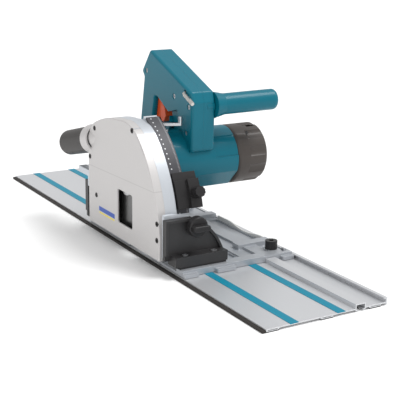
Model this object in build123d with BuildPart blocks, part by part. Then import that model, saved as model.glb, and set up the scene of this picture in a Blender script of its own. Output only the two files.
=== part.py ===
from build123d import *
import os
from math import asin, atan2, cos, degrees, radians, sin, sqrt

os.makedirs("parts", exist_ok=True)

# Track plunge saw standing on its guide rail.
# +X is the cutting direction along the rail, +Y the motor side, +Z up.
# The origin is the middle of the rail's underside; the grip strips stand on z = 0.

# ---------------------------------------------------------------- guide rail
RAIL_LENGTH = 800.0
RAIL_WIDTH = 180.0
RAIL_TOP = 4.5
RAIL_SKIN = 1.6
STRIP_THICK = 1.2
GUARD_OVERHANG = 4.8
GUARD_THICK = 3.0
GLIDE_WIDTH = 12.0
GLIDE_TOP = 5.0
GLIDE_GROOVE = 0.5
GLIDE_CENTRES = (-50.2, 18.9)
GRIP_WIDTH = 18.0
GRIP_CENTRES = (-80.5, -2.5, 71.0)
HUMP_CENTRE = 48.2
HUMP_WIDTH = 15.6
HUMP_TOP = 10.0
HUMP_WALL = 1.4
SLOT_NECK = 7.0
LIP_WALL = 2.4
LIP_TOP = 10.2
LIP_HOOK = 5.0
LIP_HOOK_THICK = 1.4

# ---------------------------------------------------------------- carriage
BASE_LENGTH = 283.0
BASE_FRONT = 208.0
BASE_GAP = 0.05
BASE_DECK = 9.0
BASE_RIM = 13.5
BASE_RIB = 16.0
TUNNEL_TOP = 12.2
TUNNEL_WALL = 3.0
SLIDE_GAP = 0.3
RAIL_CROWN_GAP = 0.4

# ---------------------------------------------------------------- bevel
BEVEL_Y = -95.0
BEVEL_Z = 0.0
BRACKET_RADIUS = 83.5
BRACKET_PLATE = 6.0
BRACKET_RIM = 3.5
STUD_RADIUS_AT = 75.0
STUD_ANGLE = 27.8
BEVEL_RANGE = 48.0
STUD_D = 8.0
TRUNNION_THICK = 5.0
FACE_GAP = 0.3

# ---------------------------------------------------------------- blade, plunge and gears
BLADE_D = 160.0
BLADE_BORE = 20.0
BLADE_PLATE = 1.6
BLADE_KERF = 2.2
BLADE_TEETH = 48
PIVOT_X = -10.0
PIVOT_Z = 37.0
PLUNGE_ARM = 98.0
ARM_ANGLE = 41.5
CUT_DEPTH = 54.0
GEAR_MODULE = 1.25
PINION_TEETH = 6
GEAR_TEETH = 31
MOTOR_LEAN = 125.0

# ---------------------------------------------------------------- blade case
CASE_RADIUS = 182.5
CASE_OUTER_Y = -105.0
CASE_PARTING_Y = -93.0
CASE_INNER_Y = -76.0
CASE_WALL = 3.0
COVER_SKIN = 2.0
CASE_BOTTOM = 18.0
CASE_REAR = -47.0

# ---------------------------------------------------------------- motor and handle
MOTOR_R = 43.5
MOTOR_BORE_R = 38.4
MOTOR_FLAT = 40.0
MOTOR_FRONT_Y = -36.0
MOTOR_JOINT_Y = 68.0
MOTOR_END_Y = 120.0
HANDLE_LEFT_Y = -13.0
HANDLE_MID_Y = 6.0
HANDLE_RIGHT_Y = 25.0
HANDLE_WALL = 3.0
HANDLE_ROUND = 5.0
GRIP_R = 15.0
NOZZLE_R = 20.0
NOZZLE_BORE_R = 17.5

# ---------------------------------------------------------------- worked out from the sizes above
BASE_UNDER = GLIDE_TOP + BASE_GAP
ARBOR_X = PIVOT_X + PLUNGE_ARM * cos(radians(ARM_ANGLE))
ARBOR_Z = PIVOT_Z + PLUNGE_ARM * sin(radians(ARM_ANGLE))
ARBOR_LOW_Z = BASE_UNDER + BLADE_D / 2 - CUT_DEPTH
PLUNGE_ANGLE = ARM_ANGLE - degrees(asin((ARBOR_LOW_Z - PIVOT_Z) / PLUNGE_ARM))
GEAR_CENTRES = GEAR_MODULE * (PINION_TEETH + GEAR_TEETH) / 2
MOTOR_X = ARBOR_X + GEAR_CENTRES * cos(radians(MOTOR_LEAN))
MOTOR_Z = ARBOR_Z + GEAR_CENTRES * sin(radians(MOTOR_LEAN))
BLADE_Y = BEVEL_Y - BLADE_KERF / 2
HALF_WIDTH = RAIL_WIDTH / 2
BASE_REAR = BASE_FRONT - BASE_LENGTH


def write(piece, name):
    """Label a finished piece and write its STEP file."""
    piece.part.label = name
    export_step(piece.part, f"parts/{name}.step")


def at_y(y):
    """Sketch plane across the saw at the given y; extrusions run towards -Y."""
    return Plane.XZ.offset(-y)


def at_x(x):
    """Sketch plane across the rail at the given x, with local axes Y and Z."""
    return Plane.YZ.offset(x)


def along_y(x, z, y):
    """Plane whose normal is +Y, centred on (x, y, z), for turned pieces."""
    return Plane(origin=(x, y, z), x_dir=(1, 0, 0), z_dir=(0, 1, 0))


def bar_between(y_low, y_high, y_low_z, z_high):
    """Rectangle in a Y-Z sketch from its two corners."""
    with Locations(((y_low + y_high) / 2, (y_low_z + z_high) / 2)):
        return Rectangle(y_high - y_low, z_high - y_low_z)


def ring_on(x, z, y_low, y_high, outer, inner=0.0):
    """Turned ring or disc on a line parallel to Y."""
    with BuildPart() as ring:
        with BuildSketch(at_y(y_high)):
            with Locations((x, z)):
                Circle(outer)
                if inner > 0:
                    Circle(inner, mode=Mode.SUBTRACT)
        extrude(amount=y_high - y_low)
    return ring.part


def block(x, y, z):
    """Box from its (low, high) pairs along the three axes."""
    with BuildPart() as solid:
        with Locations(((x[0] + x[1]) / 2, (y[0] + y[1]) / 2, (z[0] + z[1]) / 2)):
            Box(x[1] - x[0], y[1] - y[0], z[1] - z[0])
    return solid.part


def round_about(x, z, radius, angle):
    """Point at a radius and an angle above +X about (x, z)."""
    return (x + radius * cos(radians(angle)), z + radius * sin(radians(angle)))


def bevel_point(radius, angle):
    """Point (y, z) at a radius and an angle from vertical towards +Y about the bevel line."""
    return (BEVEL_Y + radius * sin(radians(angle)), BEVEL_Z + radius * cos(radians(angle)))


# ================================================================ guide rail
# Aluminium extrusion: a thin deck, a hollow guide hump open below, and a hooked lip.
HUMP_LEFT = HUMP_CENTRE - HUMP_WIDTH / 2
HUMP_RIGHT = HUMP_CENTRE + HUMP_WIDTH / 2

with BuildPart() as guide_rail:
    with BuildSketch(at_x(-RAIL_LENGTH / 2)):
        bar_between(-HALF_WIDTH, HALF_WIDTH, RAIL_TOP - RAIL_SKIN, RAIL_TOP)
        for centre in GRIP_CENTRES:
            bar_between(centre - GRIP_WIDTH / 2, centre + GRIP_WIDTH / 2, STRIP_THICK, RAIL_TOP)
        bar_between(HUMP_LEFT, HUMP_RIGHT, STRIP_THICK, HUMP_TOP)
        bar_between(HALF_WIDTH - LIP_WALL, HALF_WIDTH, STRIP_THICK, LIP_TOP)
        bar_between(HALF_WIDTH - LIP_HOOK, HALF_WIDTH, LIP_TOP - LIP_HOOK_THICK, LIP_TOP)
    extrude(amount=RAIL_LENGTH)
    with BuildSketch(at_x(-RAIL_LENGTH / 2)):
        bar_between(HUMP_LEFT + HUMP_WALL, HUMP_RIGHT - HUMP_WALL, STRIP_THICK + 1.4, HUMP_TOP - HUMP_WALL)
        bar_between(HUMP_CENTRE - SLOT_NECK / 2, HUMP_CENTRE + SLOT_NECK / 2, 0, STRIP_THICK + 2)
        for centre in GLIDE_CENTRES:
            bar_between(
                centre - GLIDE_WIDTH / 2, centre + GLIDE_WIDTH / 2, RAIL_TOP - GLIDE_GROOVE, RAIL_TOP + 1
            )
        for centre in GRIP_CENTRES:
            bar_between(
                centre - GRIP_WIDTH / 2 + 2, centre + GRIP_WIDTH / 2 - 2,
                STRIP_THICK + 0.9, RAIL_TOP - RAIL_SKIN
            )
    extrude(amount=RAIL_LENGTH, mode=Mode.SUBTRACT)
write(guide_rail, "guide_rail")

# Rubber splinter guard bonded under the edge that the blade runs along.
with BuildPart() as splinter_guard:
    add(block((-RAIL_LENGTH / 2, RAIL_LENGTH / 2), (-HALF_WIDTH - GUARD_OVERHANG, -HALF_WIDTH), (0, GUARD_THICK)))
write(splinter_guard, "splinter_guard")

# Low-friction strips that the saw glides on.
with BuildPart() as glide_strips:
    for centre in GLIDE_CENTRES:
        add(block(
            (-RAIL_LENGTH / 2, RAIL_LENGTH / 2),
            (centre - GLIDE_WIDTH / 2, centre + GLIDE_WIDTH / 2),
            (RAIL_TOP - GLIDE_GROOVE, GLIDE_TOP),
        ))
write(glide_strips, "glide_strips")

# Foam strips that keep the rail from slipping on the work.
with BuildPart() as grip_strips:
    for centre in GRIP_CENTRES:
        add(block(
            (-RAIL_LENGTH / 2, RAIL_LENGTH / 2),
            (centre - GRIP_WIDTH / 2, centre + GRIP_WIDTH / 2),
            (0, STRIP_THICK),
        ))
write(grip_strips, "grip_strips")

# ================================================================ base plate
# Die-cast plate with front and rear bars, cross ribs, a tunnel over the hump and a cut-out
# at the blade side for the gear housing.
BASE_LEFT = -HALF_WIDTH
BASE_RIGHT = HALF_WIDTH - LIP_HOOK - 0.6
BAR_DEPTH = 16.0
FOOT_REACH = 7.0
FOOT_TOP = 10.0
FOOT_SPANS = ((BASE_LEFT, -68.0), (-40.0, -10.0), (65.0, BASE_RIGHT))
RIB_SPANS = ((-6.0, 8.0), (142.0, 157.0))
RIB_START_Y = 29.0
CUTOUT_X = (56.0, 120.0)
CUTOUT_Y = (BASE_LEFT - 1, -36.0)
POCKET_DEPTH = 2.4
LONG_RIBS = (-30.0, -8.0, 14.0)
ADJUSTER_R = 8.5
ADJUSTER_PIN_R = 4.0
ADJUSTER_Y = 66.0
ADJUSTER_XS = {"front": 184.0, "rear": -52.0}
ADJUSTER_HIGH = 12.0

with BuildPart() as base_plate:
    add(block((BASE_REAR, BASE_FRONT), (BASE_LEFT, BASE_RIGHT), (BASE_UNDER, BASE_DECK)))
    add(block((BASE_FRONT - BAR_DEPTH, BASE_FRONT), (BASE_LEFT, BASE_RIGHT), (BASE_UNDER, BASE_RIM)))
    add(block((BASE_REAR, BASE_REAR + BAR_DEPTH), (BASE_LEFT, BASE_RIGHT), (BASE_UNDER, BASE_RIM)))
    for span in RIB_SPANS:
        add(block(span, (RIB_START_Y, BASE_RIGHT), (BASE_UNDER, BASE_RIB)))
    for y in LONG_RIBS:
        add(block((BASE_REAR, BASE_FRONT - 1), (y - 1.5, y + 1.5), (BASE_UNDER, BASE_DECK + 2)))
    tunnel = (HUMP_LEFT - SLIDE_GAP - TUNNEL_WALL, HUMP_RIGHT + SLIDE_GAP + TUNNEL_WALL)
    add(block((BASE_REAR, BASE_FRONT - 1), tunnel, (BASE_UNDER, TUNNEL_TOP)))
    for low, high in FOOT_SPANS:
        add(block((BASE_FRONT - 1, BASE_FRONT + FOOT_REACH), (low, high), (BASE_UNDER, FOOT_TOP)))
    for side_x in (ADJUSTER_XS["front"], ADJUSTER_XS["rear"]):
        with Locations((side_x, ADJUSTER_Y, (BASE_UNDER + BASE_RIM) / 2)):
            Cylinder(ADJUSTER_R + 2, BASE_RIM - BASE_UNDER)
    outer_bars = base_plate.edges().filter_by(Axis.Z).group_by(Axis.X)[-1]
    fillet(outer_bars, 2)
    add(block((BASE_REAR - 1, BASE_FRONT + FOOT_REACH + 1),
              (HUMP_LEFT - SLIDE_GAP, HUMP_RIGHT + SLIDE_GAP),
              (0, HUMP_TOP + RAIL_CROWN_GAP)), mode=Mode.SUBTRACT)
    add(block(CUTOUT_X, CUTOUT_Y, (0, BASE_RIB + 1)), mode=Mode.SUBTRACT)
    for low, high in ((-26.0, -12.0), (-4.0, 10.0)):
        for start, end in ((-50.0, 40.0), (56.0, 134.0), (162.0, 186.0)):
            add(block((start, end), (low, high), (BASE_DECK - POCKET_DEPTH, BASE_RIB + 1)), mode=Mode.SUBTRACT)
    for start, end in ((16.0, 134.0), (163.0, 172.0)):
        add(block((start, end), (tunnel[1] + 3, BASE_RIGHT - 4), (BASE_DECK - POCKET_DEPTH, BASE_DECK + 1)),
            mode=Mode.SUBTRACT)
    for side_x in (ADJUSTER_XS["front"], ADJUSTER_XS["rear"]):
        with Locations((side_x, ADJUSTER_Y, BASE_RIM)):
            Cylinder(ADJUSTER_PIN_R + 0.05, 2 * (BASE_RIM - BASE_UNDER - 1.5), mode=Mode.SUBTRACT)
    # pocket for the anti-tip slider, open towards the lip
    add(block((191.0, 203.2), (74.0, BASE_RIGHT + 1), (BASE_UNDER + 0.75, BASE_UNDER + 3.55)), mode=Mode.SUBTRACT)
    add(block((194.0, 200.2), (74.0, 81.2), (BASE_UNDER, BASE_RIM + 1)), mode=Mode.SUBTRACT)
write(base_plate, "base_plate")

# Dark edge strip on the lip side, dipped where the motor comes down.
STRIP_Y = (BASE_RIGHT - 2.0, BASE_RIGHT)
with BuildPart() as edge_strip:
    with BuildSketch(at_y(STRIP_Y[1])):
        with BuildLine():
            Polyline((16.0, BASE_DECK), (16.0, BASE_RIB - 1), (44.0, BASE_RIB - 1))
            Spline((44.0, BASE_RIB - 1), (74.0, BASE_DECK + 2.2), (104.0, BASE_DECK + 2.2), (134.0, BASE_RIB - 1),
                   tangents=((1, 0), (1, 0)))
            Polyline((134.0, BASE_RIB - 1), (140.0, BASE_RIB - 1), (140.0, BASE_DECK), (16.0, BASE_DECK))
        make_face()
    extrude(amount=STRIP_Y[1] - STRIP_Y[0])
write(edge_strip, "edge_strip")

# ================================================================ bevel brackets
# Each bracket is a quarter fan standing on the base, concentric with the bevel line. Its stud
# passes through an arc slot in the trunnion plate of the saw head behind it.
FRONT_FACE_X = 180.0
REAR_FACE_X = CASE_REAR - TRUNNION_THICK - FACE_GAP
LEDGE_REACH = 22.0
LEDGE_TOP = 30.0
BRACKET_LEFT = -104.0
BRACKET_FOOT = BASE_RIM
BRACKET_SHOULDER = 77.5
FAN_END_Y = BEVEL_Y + sqrt(BRACKET_RADIUS**2 - (LEDGE_TOP - BEVEL_Z) ** 2)
STUD_Y, STUD_Z = bevel_point(STUD_RADIUS_AT, STUD_ANGLE)


def fan_outline(shrink=0.0):
    """Face of the bracket, optionally shrunk inside its rim."""
    radius = BRACKET_RADIUS - shrink
    left = BRACKET_LEFT + shrink
    top = BRACKET_SHOULDER - shrink
    start_y = BEVEL_Y + sqrt(radius**2 - (top - BEVEL_Z) ** 2)
    low = LEDGE_TOP - 3 if shrink else LEDGE_TOP
    end_y = BEVEL_Y + sqrt(radius**2 - (low - BEVEL_Z) ** 2)
    mid = degrees(atan2(start_y - BEVEL_Y, top - BEVEL_Z)) / 2
    mid += degrees(atan2(end_y - BEVEL_Y, low - BEVEL_Z)) / 2
    with BuildLine() as outline:
        Polyline((end_y, low), (left, low), (left, top), (start_y, top))
        ThreePointArc((start_y, top), bevel_point(radius, mid), (end_y, low))
    return outline.line


def make_bracket(face_x, sign):
    """Fan, rim, ledge and foot; sign says which way the ledge points."""
    outward = face_x + sign * BRACKET_PLATE
    with BuildPart() as bracket:
        with BuildSketch(at_x(face_x)):
            make_face(fan_outline().edges())
        extrude(amount=sign * BRACKET_PLATE)
        with BuildSketch(at_x(face_x)):
            make_face(fan_outline().edges())
            make_face(fan_outline(3.5).edges(), mode=Mode.SUBTRACT)
        extrude(amount=sign * (BRACKET_PLATE + BRACKET_RIM))
        ledge_x = sorted((face_x, face_x + sign * LEDGE_REACH))
        add(block(ledge_x, (BRACKET_LEFT + 8, FAN_END_Y), (BRACKET_FOOT + 3, LEDGE_TOP)))
        add(block(sorted((face_x, outward)), (BRACKET_LEFT, BRACKET_LEFT + 10), (BRACKET_FOOT + 9, LEDGE_TOP)))
        foot_x = sorted((face_x, face_x + sign * (LEDGE_REACH - 2)))
        add(block(foot_x, (BASE_LEFT + 2, FAN_END_Y - 1), (BRACKET_FOOT, BRACKET_FOOT + 3)))
        with BuildSketch(at_x(outward)):
            with Locations((STUD_Y, STUD_Z)):
                Circle(9)
        extrude(amount=sign * BRACKET_RIM)
        with Locations(Location(((face_x + outward) / 2, STUD_Y, STUD_Z), (0, 90, 0))):
            Cylinder(STUD_D / 2, 40, mode=Mode.SUBTRACT)
        for y in SCREW_YS:
            with Locations((face_x + sign * 14, y, BRACKET_FOOT + 6)):
                Cylinder(2.6, 40, mode=Mode.SUBTRACT)
            with Locations((face_x + sign * 14, y, LEDGE_TOP)):
                Cylinder(5.0, 9, mode=Mode.SUBTRACT)
    return bracket


SCREW_YS = (-78.0, -34.0)
front_bevel_bracket = make_bracket(FRONT_FACE_X, 1)
write(front_bevel_bracket, "front_bevel_bracket")
rear_bevel_bracket = make_bracket(REAR_FACE_X, -1)
write(rear_bevel_bracket, "rear_bevel_bracket")

# Cap screws that hold the brackets down on the base.
with BuildPart() as bracket_screws:
    for face_x, sign in ((FRONT_FACE_X, 1), (REAR_FACE_X, -1)):
        for y in SCREW_YS:
            with Locations((face_x + sign * 14, y, LEDGE_TOP - 4.5 + 2.5)):
                Cylinder(4.4, 5)
            with Locations((face_x + sign * 14, y, (BRACKET_FOOT + LEDGE_TOP - 4.5) / 2)):
                Cylinder(2.5, LEDGE_TOP - 4.5 - BRACKET_FOOT)
            with Locations((face_x + sign * 14, y, LEDGE_TOP)):
                Cylinder(2.2, 4, mode=Mode.SUBTRACT)
write(bracket_screws, "bracket_screws")

# Studs that cross the trunnion slot; their square necks sit in the bracket.
NECK_HEAD = 4.0
TRUNNION_OUT = FACE_GAP + TRUNNION_THICK
with BuildPart() as bevel_studs:
    for face_x, sign in ((FRONT_FACE_X, 1), (REAR_FACE_X, -1)):
        inner = face_x - sign * (TRUNNION_OUT + FACE_GAP + NECK_HEAD)
        outer = face_x + sign * (BRACKET_PLATE + 14)
        with Locations(Location(((inner + outer) / 2, STUD_Y, STUD_Z), (0, 90, 0))):
            Cylinder(STUD_D / 2 - 0.03, abs(outer - inner))
        with Locations(Location((inner + sign * NECK_HEAD / 2, STUD_Y, STUD_Z), (0, 90, 0))):
            Cylinder(8, NECK_HEAD)
write(bevel_studs, "bevel_studs")

# Clamp knobs: a round boss with a raised grip bar, and a brass-lined blind hole for the stud.
KNOB_R = 14.0
KNOB_DEEP = 10.0
KNOB_BAR = 9.0


def make_bevel_knob(face_x, sign):
    start = face_x + sign * (BRACKET_PLATE + BRACKET_RIM + FACE_GAP)
    with BuildPart() as knob:
        with BuildSketch(at_x(start)):
            with Locations((STUD_Y, STUD_Z)):
                Circle(KNOB_R)
        extrude(amount=sign * KNOB_DEEP)
        fillet(knob.edges().filter_by(GeomType.CIRCLE).sort_by(Axis.X)[-1 if sign > 0 else 0], 2.5)
        with BuildSketch(at_x(start + sign * (KNOB_DEEP - 2))):
            with Locations((STUD_Y, STUD_Z)):
                SlotOverall(2 * KNOB_R - 2, 8)
        extrude(amount=sign * (KNOB_BAR + 2))
        tip = knob.faces().sort_by(Axis.X)[-1 if sign > 0 else 0]
        fillet(tip.edges(), 2)
        with BuildSketch(at_x(start)):
            with Locations((STUD_Y, STUD_Z)):
                Circle(STUD_D / 2)
        extrude(amount=sign * 12, mode=Mode.SUBTRACT)
    return knob


front_bevel_knob = make_bevel_knob(FRONT_FACE_X, 1)
write(front_bevel_knob, "front_bevel_knob")
rear_bevel_knob = make_bevel_knob(REAR_FACE_X, -1)
write(rear_bevel_knob, "rear_bevel_knob")


# Guide adjusters: fluted caps on eccentric pins that take up play on the hump.
def make_adjuster(x):
    with BuildPart() as cap:
        with BuildSketch(Plane.XY.offset(BASE_RIM + 0.1)):
            with Locations((x, ADJUSTER_Y)):
                Circle(ADJUSTER_R)
                with PolarLocations(ADJUSTER_R + 0.4, 12):
                    Circle(0.9, mode=Mode.SUBTRACT)
        extrude(amount=ADJUSTER_HIGH)
        with Locations((x, ADJUSTER_Y, BASE_RIM + ADJUSTER_HIGH)):
            Cylinder(3.6, 8, mode=Mode.SUBTRACT)
        with Locations((x, ADJUSTER_Y, (BASE_UNDER + 2 + BASE_RIM + 1) / 2)):
            Cylinder(ADJUSTER_PIN_R, BASE_RIM + 1 - BASE_UNDER - 2)
    return cap


guide_adjuster_front = make_adjuster(ADJUSTER_XS["front"])
write(guide_adjuster_front, "guide_adjuster_front")
guide_adjuster_rear = make_adjuster(ADJUSTER_XS["rear"])
write(guide_adjuster_rear, "guide_adjuster_rear")

# Slider that reaches under the lip's hook to stop the saw from tipping.
with BuildPart() as anti_tip_slider:
    add(block((191.2, 203.0), (74.6, BASE_RIGHT), (BASE_UNDER + 0.95, BASE_UNDER + 3.35)))
    add(block((194.4, 199.8), (76.0, 79.0), (BASE_UNDER + 3.3, BASE_RIM + 3)))
write(anti_tip_slider, "anti_tip_slider")

# ================================================================ blade case
# Cast half shell: a back wall on the motor side, a curved rim and half of the dust outlet.
# Its front is concentric with the plunge pivot; the cover closes it at the parting plane.
TOP_START = round_about(PIVOT_X, PIVOT_Z, CASE_RADIUS, 50)
FRONT_LOW = (PIVOT_X + sqrt(CASE_RADIUS**2 - (PIVOT_Z - CASE_BOTTOM) ** 2), CASE_BOTTOM)
FRONT_MID = round_about(PIVOT_X, PIVOT_Z, CASE_RADIUS, 22)
CASE_TOP = ARBOR_Z + BLADE_D / 2 + 2.9 + CASE_WALL
OUTLET_LEAN = 14.4
OUTLET_Y = -90.0
OUTLET_START = (-40.0, 143.2)
OUTLET_R = 22.0
OUTLET_BORE = 19.6
OUTLET_LENGTH = 22.0


def case_outline():
    """Closed outline of the case as seen from the blade side."""
    with BuildLine() as outline:
        Line((CASE_REAR, CASE_BOTTOM), FRONT_LOW)
        ThreePointArc(FRONT_LOW, FRONT_MID, TOP_START)
        ThreePointArc(TOP_START, (84.5, CASE_TOP - 0.9), (57.0, CASE_TOP))
        ThreePointArc((57.0, CASE_TOP), (18.0, CASE_TOP - 3.8), (-18.0, CASE_TOP - 14.5))
        ThreePointArc((-18.0, CASE_TOP - 14.5), (-36.5, CASE_TOP - 25.5), (CASE_REAR, CASE_TOP - 42))
        Line((CASE_REAR, CASE_TOP - 42), (CASE_REAR, CASE_BOTTOM))
    return outline.line.edges()


def case_shell(y_open, y_closed, skin):
    """Half shell whose closed wall is at y_closed and which opens towards y_open and below."""
    low, high = sorted((y_open, y_closed))
    inner = sorted((y_open, y_closed + skin if y_closed < y_open else y_closed - skin))
    with BuildPart() as shell:
        with BuildSketch(at_y(high)):
            make_face(case_outline())
        extrude(amount=high - low)
        with BuildSketch(at_y(inner[1])):
            make_face(case_outline())
            offset(amount=-CASE_WALL, mode=Mode.REPLACE)
        extrude(amount=inner[1] - inner[0], mode=Mode.SUBTRACT)
        slot_z = (CASE_BOTTOM - 1, CASE_BOTTOM + CASE_WALL + 1)
        add(block((CASE_REAR + 8, FRONT_LOW[0] - CASE_WALL - 1), tuple(inner), slot_z), mode=Mode.SUBTRACT)
    return shell


def outlet_part(radius, start, end, y_low, y_high):
    """Piece of the dust outlet's cylinder between two stations and two y planes."""
    plane = Plane(origin=(OUTLET_START[0], OUTLET_Y, OUTLET_START[1]), x_dir=(0, 1, 0),
                  z_dir=(-cos(radians(OUTLET_LEAN)), 0, -sin(radians(OUTLET_LEAN))))
    with BuildPart() as tube:
        with BuildSketch(plane.offset(start)):
            Circle(radius)
        extrude(amount=end - start)
        add(block((-200, 60), (y_low, y_high), (60, 240)), mode=Mode.INTERSECT)
    return tube.part


NECK_R = 17.0
NECK_SLOT = 18.2
SHAFT_R = 6.0
SCALE_R = 180.0
SCALE_THICK = 3.0
SCALE_Y = (-56.0, CASE_INNER_Y)
SCALE_ANGLES = (13.0, 60.0)
SCREW_SPOTS = ((95.0, 180.0), (-24.0, 162.0), (-41.0, 117.0), (-20.5, 63.0))
# short screws in front of the blade, which go through the skin of the cover only
SHORT_SPOTS = ((166.0, 68.5), (166.0, 46.0))
SCREW_HEAD_R = 3.4
PILLAR_R = 3.2


def arc_band(inner, outer, start, end, y_low, y_high, x=PIVOT_X, z=PIVOT_Z):
    """Curved band about the plunge pivot between two radii and two angles."""
    with BuildPart() as band:
        with BuildSketch(at_y(y_high)):
            with BuildLine():
                Line(round_about(x, z, inner, start), round_about(x, z, outer, start))
                ThreePointArc(round_about(x, z, outer, start), round_about(x, z, outer, (start + end) / 2),
                              round_about(x, z, outer, end))
                Line(round_about(x, z, outer, end), round_about(x, z, inner, end))
                ThreePointArc(round_about(x, z, inner, end), round_about(x, z, inner, (start + end) / 2),
                              round_about(x, z, inner, start))
            make_face()
        extrude(amount=y_high - y_low)
    return band.part


LOW_ANGLE = ARM_ANGLE - PLUNGE_ANGLE
case_builder = case_shell(CASE_PARTING_Y, CASE_INNER_Y, CASE_WALL)
with BuildPart() as blade_case:
    add(case_builder.part)
    outlet_end = OUTLET_LENGTH + 2
    add(outlet_part(OUTLET_R, 0, OUTLET_LENGTH, CASE_PARTING_Y, 0))
    add(outlet_part(OUTLET_BORE, -2, outlet_end, CASE_PARTING_Y - 1, CASE_INNER_Y - CASE_WALL), mode=Mode.SUBTRACT)
    add(outlet_part(OUTLET_BORE, 8, outlet_end, CASE_PARTING_Y - 1, 0), mode=Mode.SUBTRACT)
    # slot that the spindle neck travels in, open below
    neck_plane = (CASE_INNER_Y - CASE_WALL - 1, CASE_INNER_Y + 1)
    add(arc_band(PLUNGE_ARM - NECK_SLOT, PLUNGE_ARM + NECK_SLOT, LOW_ANGLE, ARM_ANGLE, *neck_plane),
        mode=Mode.SUBTRACT)
    for angle in (LOW_ANGLE, ARM_ANGLE):
        spot = round_about(PIVOT_X, PIVOT_Z, PLUNGE_ARM, angle)
        add(ring_on(spot[0], spot[1], *neck_plane, NECK_SLOT), mode=Mode.SUBTRACT)
    add(block((ARBOR_X + 10, PIVOT_X + PLUNGE_ARM + NECK_SLOT - 0.3), neck_plane, (CASE_BOTTOM - 1, 36)),
        mode=Mode.SUBTRACT)
    # rib behind the depth scale, and the seat of the pivot shaft
    add(arc_band(SCALE_R - SCALE_THICK - 7, SCALE_R - SCALE_THICK - 0.02, SCALE_ANGLES[0] + 3, SCALE_ANGLES[1] + 2,
                 CASE_INNER_Y, SCALE_Y[0]))
    add(ring_on(PIVOT_X, PIVOT_Z, CASE_INNER_Y, CASE_INNER_Y + 1.6, 12))
    add(ring_on(PIVOT_X, PIVOT_Z, CASE_INNER_Y - CASE_WALL - 1, CASE_INNER_Y + 2, SHAFT_R), mode=Mode.SUBTRACT)
    # screw pillars that the cover is fastened to
    for x, z in SCREW_SPOTS:
        add(ring_on(x, z, CASE_OUTER_Y + COVER_SKIN, CASE_INNER_Y - 1, PILLAR_R))
    for x, z in SCREW_SPOTS:
        add(ring_on(x, z, CASE_OUTER_Y, CASE_INNER_Y - 6, 1.6), mode=Mode.SUBTRACT)
write(blade_case, "blade_case")

# Cover: pressed and painted plate with a rim, a blade window and the outer half of the outlet.
WINDOW_X = (50.0, 95.0)
WINDOW_Z = (41.0, 89.5)
SPLAY_END = (-16.0, 151.0)
with BuildPart() as splay:
    splay_plane = Plane(origin=(OUTLET_START[0], OUTLET_Y, OUTLET_START[1]), x_dir=(0, 1, 0),
                        z_dir=(cos(radians(OUTLET_LEAN)), 0, sin(radians(OUTLET_LEAN))))
    with BuildSketch(splay_plane.offset(-OUTLET_LENGTH + 4)):
        Circle(OUTLET_R)
    with BuildSketch(splay_plane.offset(24)):
        Circle(OUTLET_R - 8)
    loft()
    add(block((-200, 60), (-140, CASE_OUTER_Y + COVER_SKIN), (60, 240)), mode=Mode.INTERSECT)

cover_builder = case_shell(CASE_PARTING_Y, CASE_OUTER_Y, COVER_SKIN)
with BuildPart() as case_cover:
    add(cover_builder.part)
    face_edges = case_cover.faces().sort_by(Axis.Y)[0].outer_wire().edges()
    fillet(face_edges, 1.2)
    add(splay.part)
    add(outlet_part(OUTLET_R, 0, OUTLET_LENGTH, -140, CASE_PARTING_Y))
    add(outlet_part(OUTLET_BORE, -2, outlet_end, -140, CASE_PARTING_Y + 1), mode=Mode.SUBTRACT)
    with BuildSketch(at_y(CASE_PARTING_Y)):
        with Locations((sum(WINDOW_X) / 2, sum(WINDOW_Z) / 2)):
            RectangleRounded(WINDOW_X[1] - WINDOW_X[0], WINDOW_Z[1] - WINDOW_Z[0], 3)
    extrude(amount=14, mode=Mode.SUBTRACT)
    for x, z in SCREW_SPOTS:
        add(ring_on(x, z, CASE_OUTER_Y + COVER_SKIN, CASE_PARTING_Y + 1, PILLAR_R + 0.1), mode=Mode.SUBTRACT)
    for x, z in SCREW_SPOTS + SHORT_SPOTS:
        add(ring_on(x, z, CASE_OUTER_Y - 1, CASE_PARTING_Y, 1.9), mode=Mode.SUBTRACT)
        add(ring_on(x, z, CASE_OUTER_Y - 1, CASE_OUTER_Y + 1.0, SCREW_HEAD_R + 0.2), mode=Mode.SUBTRACT)
write(case_cover, "case_cover")

with BuildPart() as cover_screws:
    for x, z in SCREW_SPOTS + SHORT_SPOTS:
        add(ring_on(x, z, CASE_OUTER_Y - 0.6, CASE_OUTER_Y + 1.0, SCREW_HEAD_R))
    for x, z in SCREW_SPOTS:
        add(ring_on(x, z, CASE_OUTER_Y + 1.0, CASE_OUTER_Y + 9.0, 1.55))
    for x, z in SHORT_SPOTS:
        add(ring_on(x, z, CASE_OUTER_Y + 1.0, CASE_OUTER_Y + COVER_SKIN + 0.6, 1.85))
    for x, z in SCREW_SPOTS + SHORT_SPOTS:
        add(ring_on(x, z, CASE_OUTER_Y - 1, CASE_OUTER_Y + 0.4, 1.5), mode=Mode.SUBTRACT)
write(cover_screws, "cover_screws")

# Graduated scale bent round the rib of the case.
with BuildPart() as depth_scale:
    add(arc_band(SCALE_R - SCALE_THICK, SCALE_R, *SCALE_ANGLES, CASE_INNER_Y + 0.02, SCALE_Y[0]))
write(depth_scale, "depth_scale")

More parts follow.
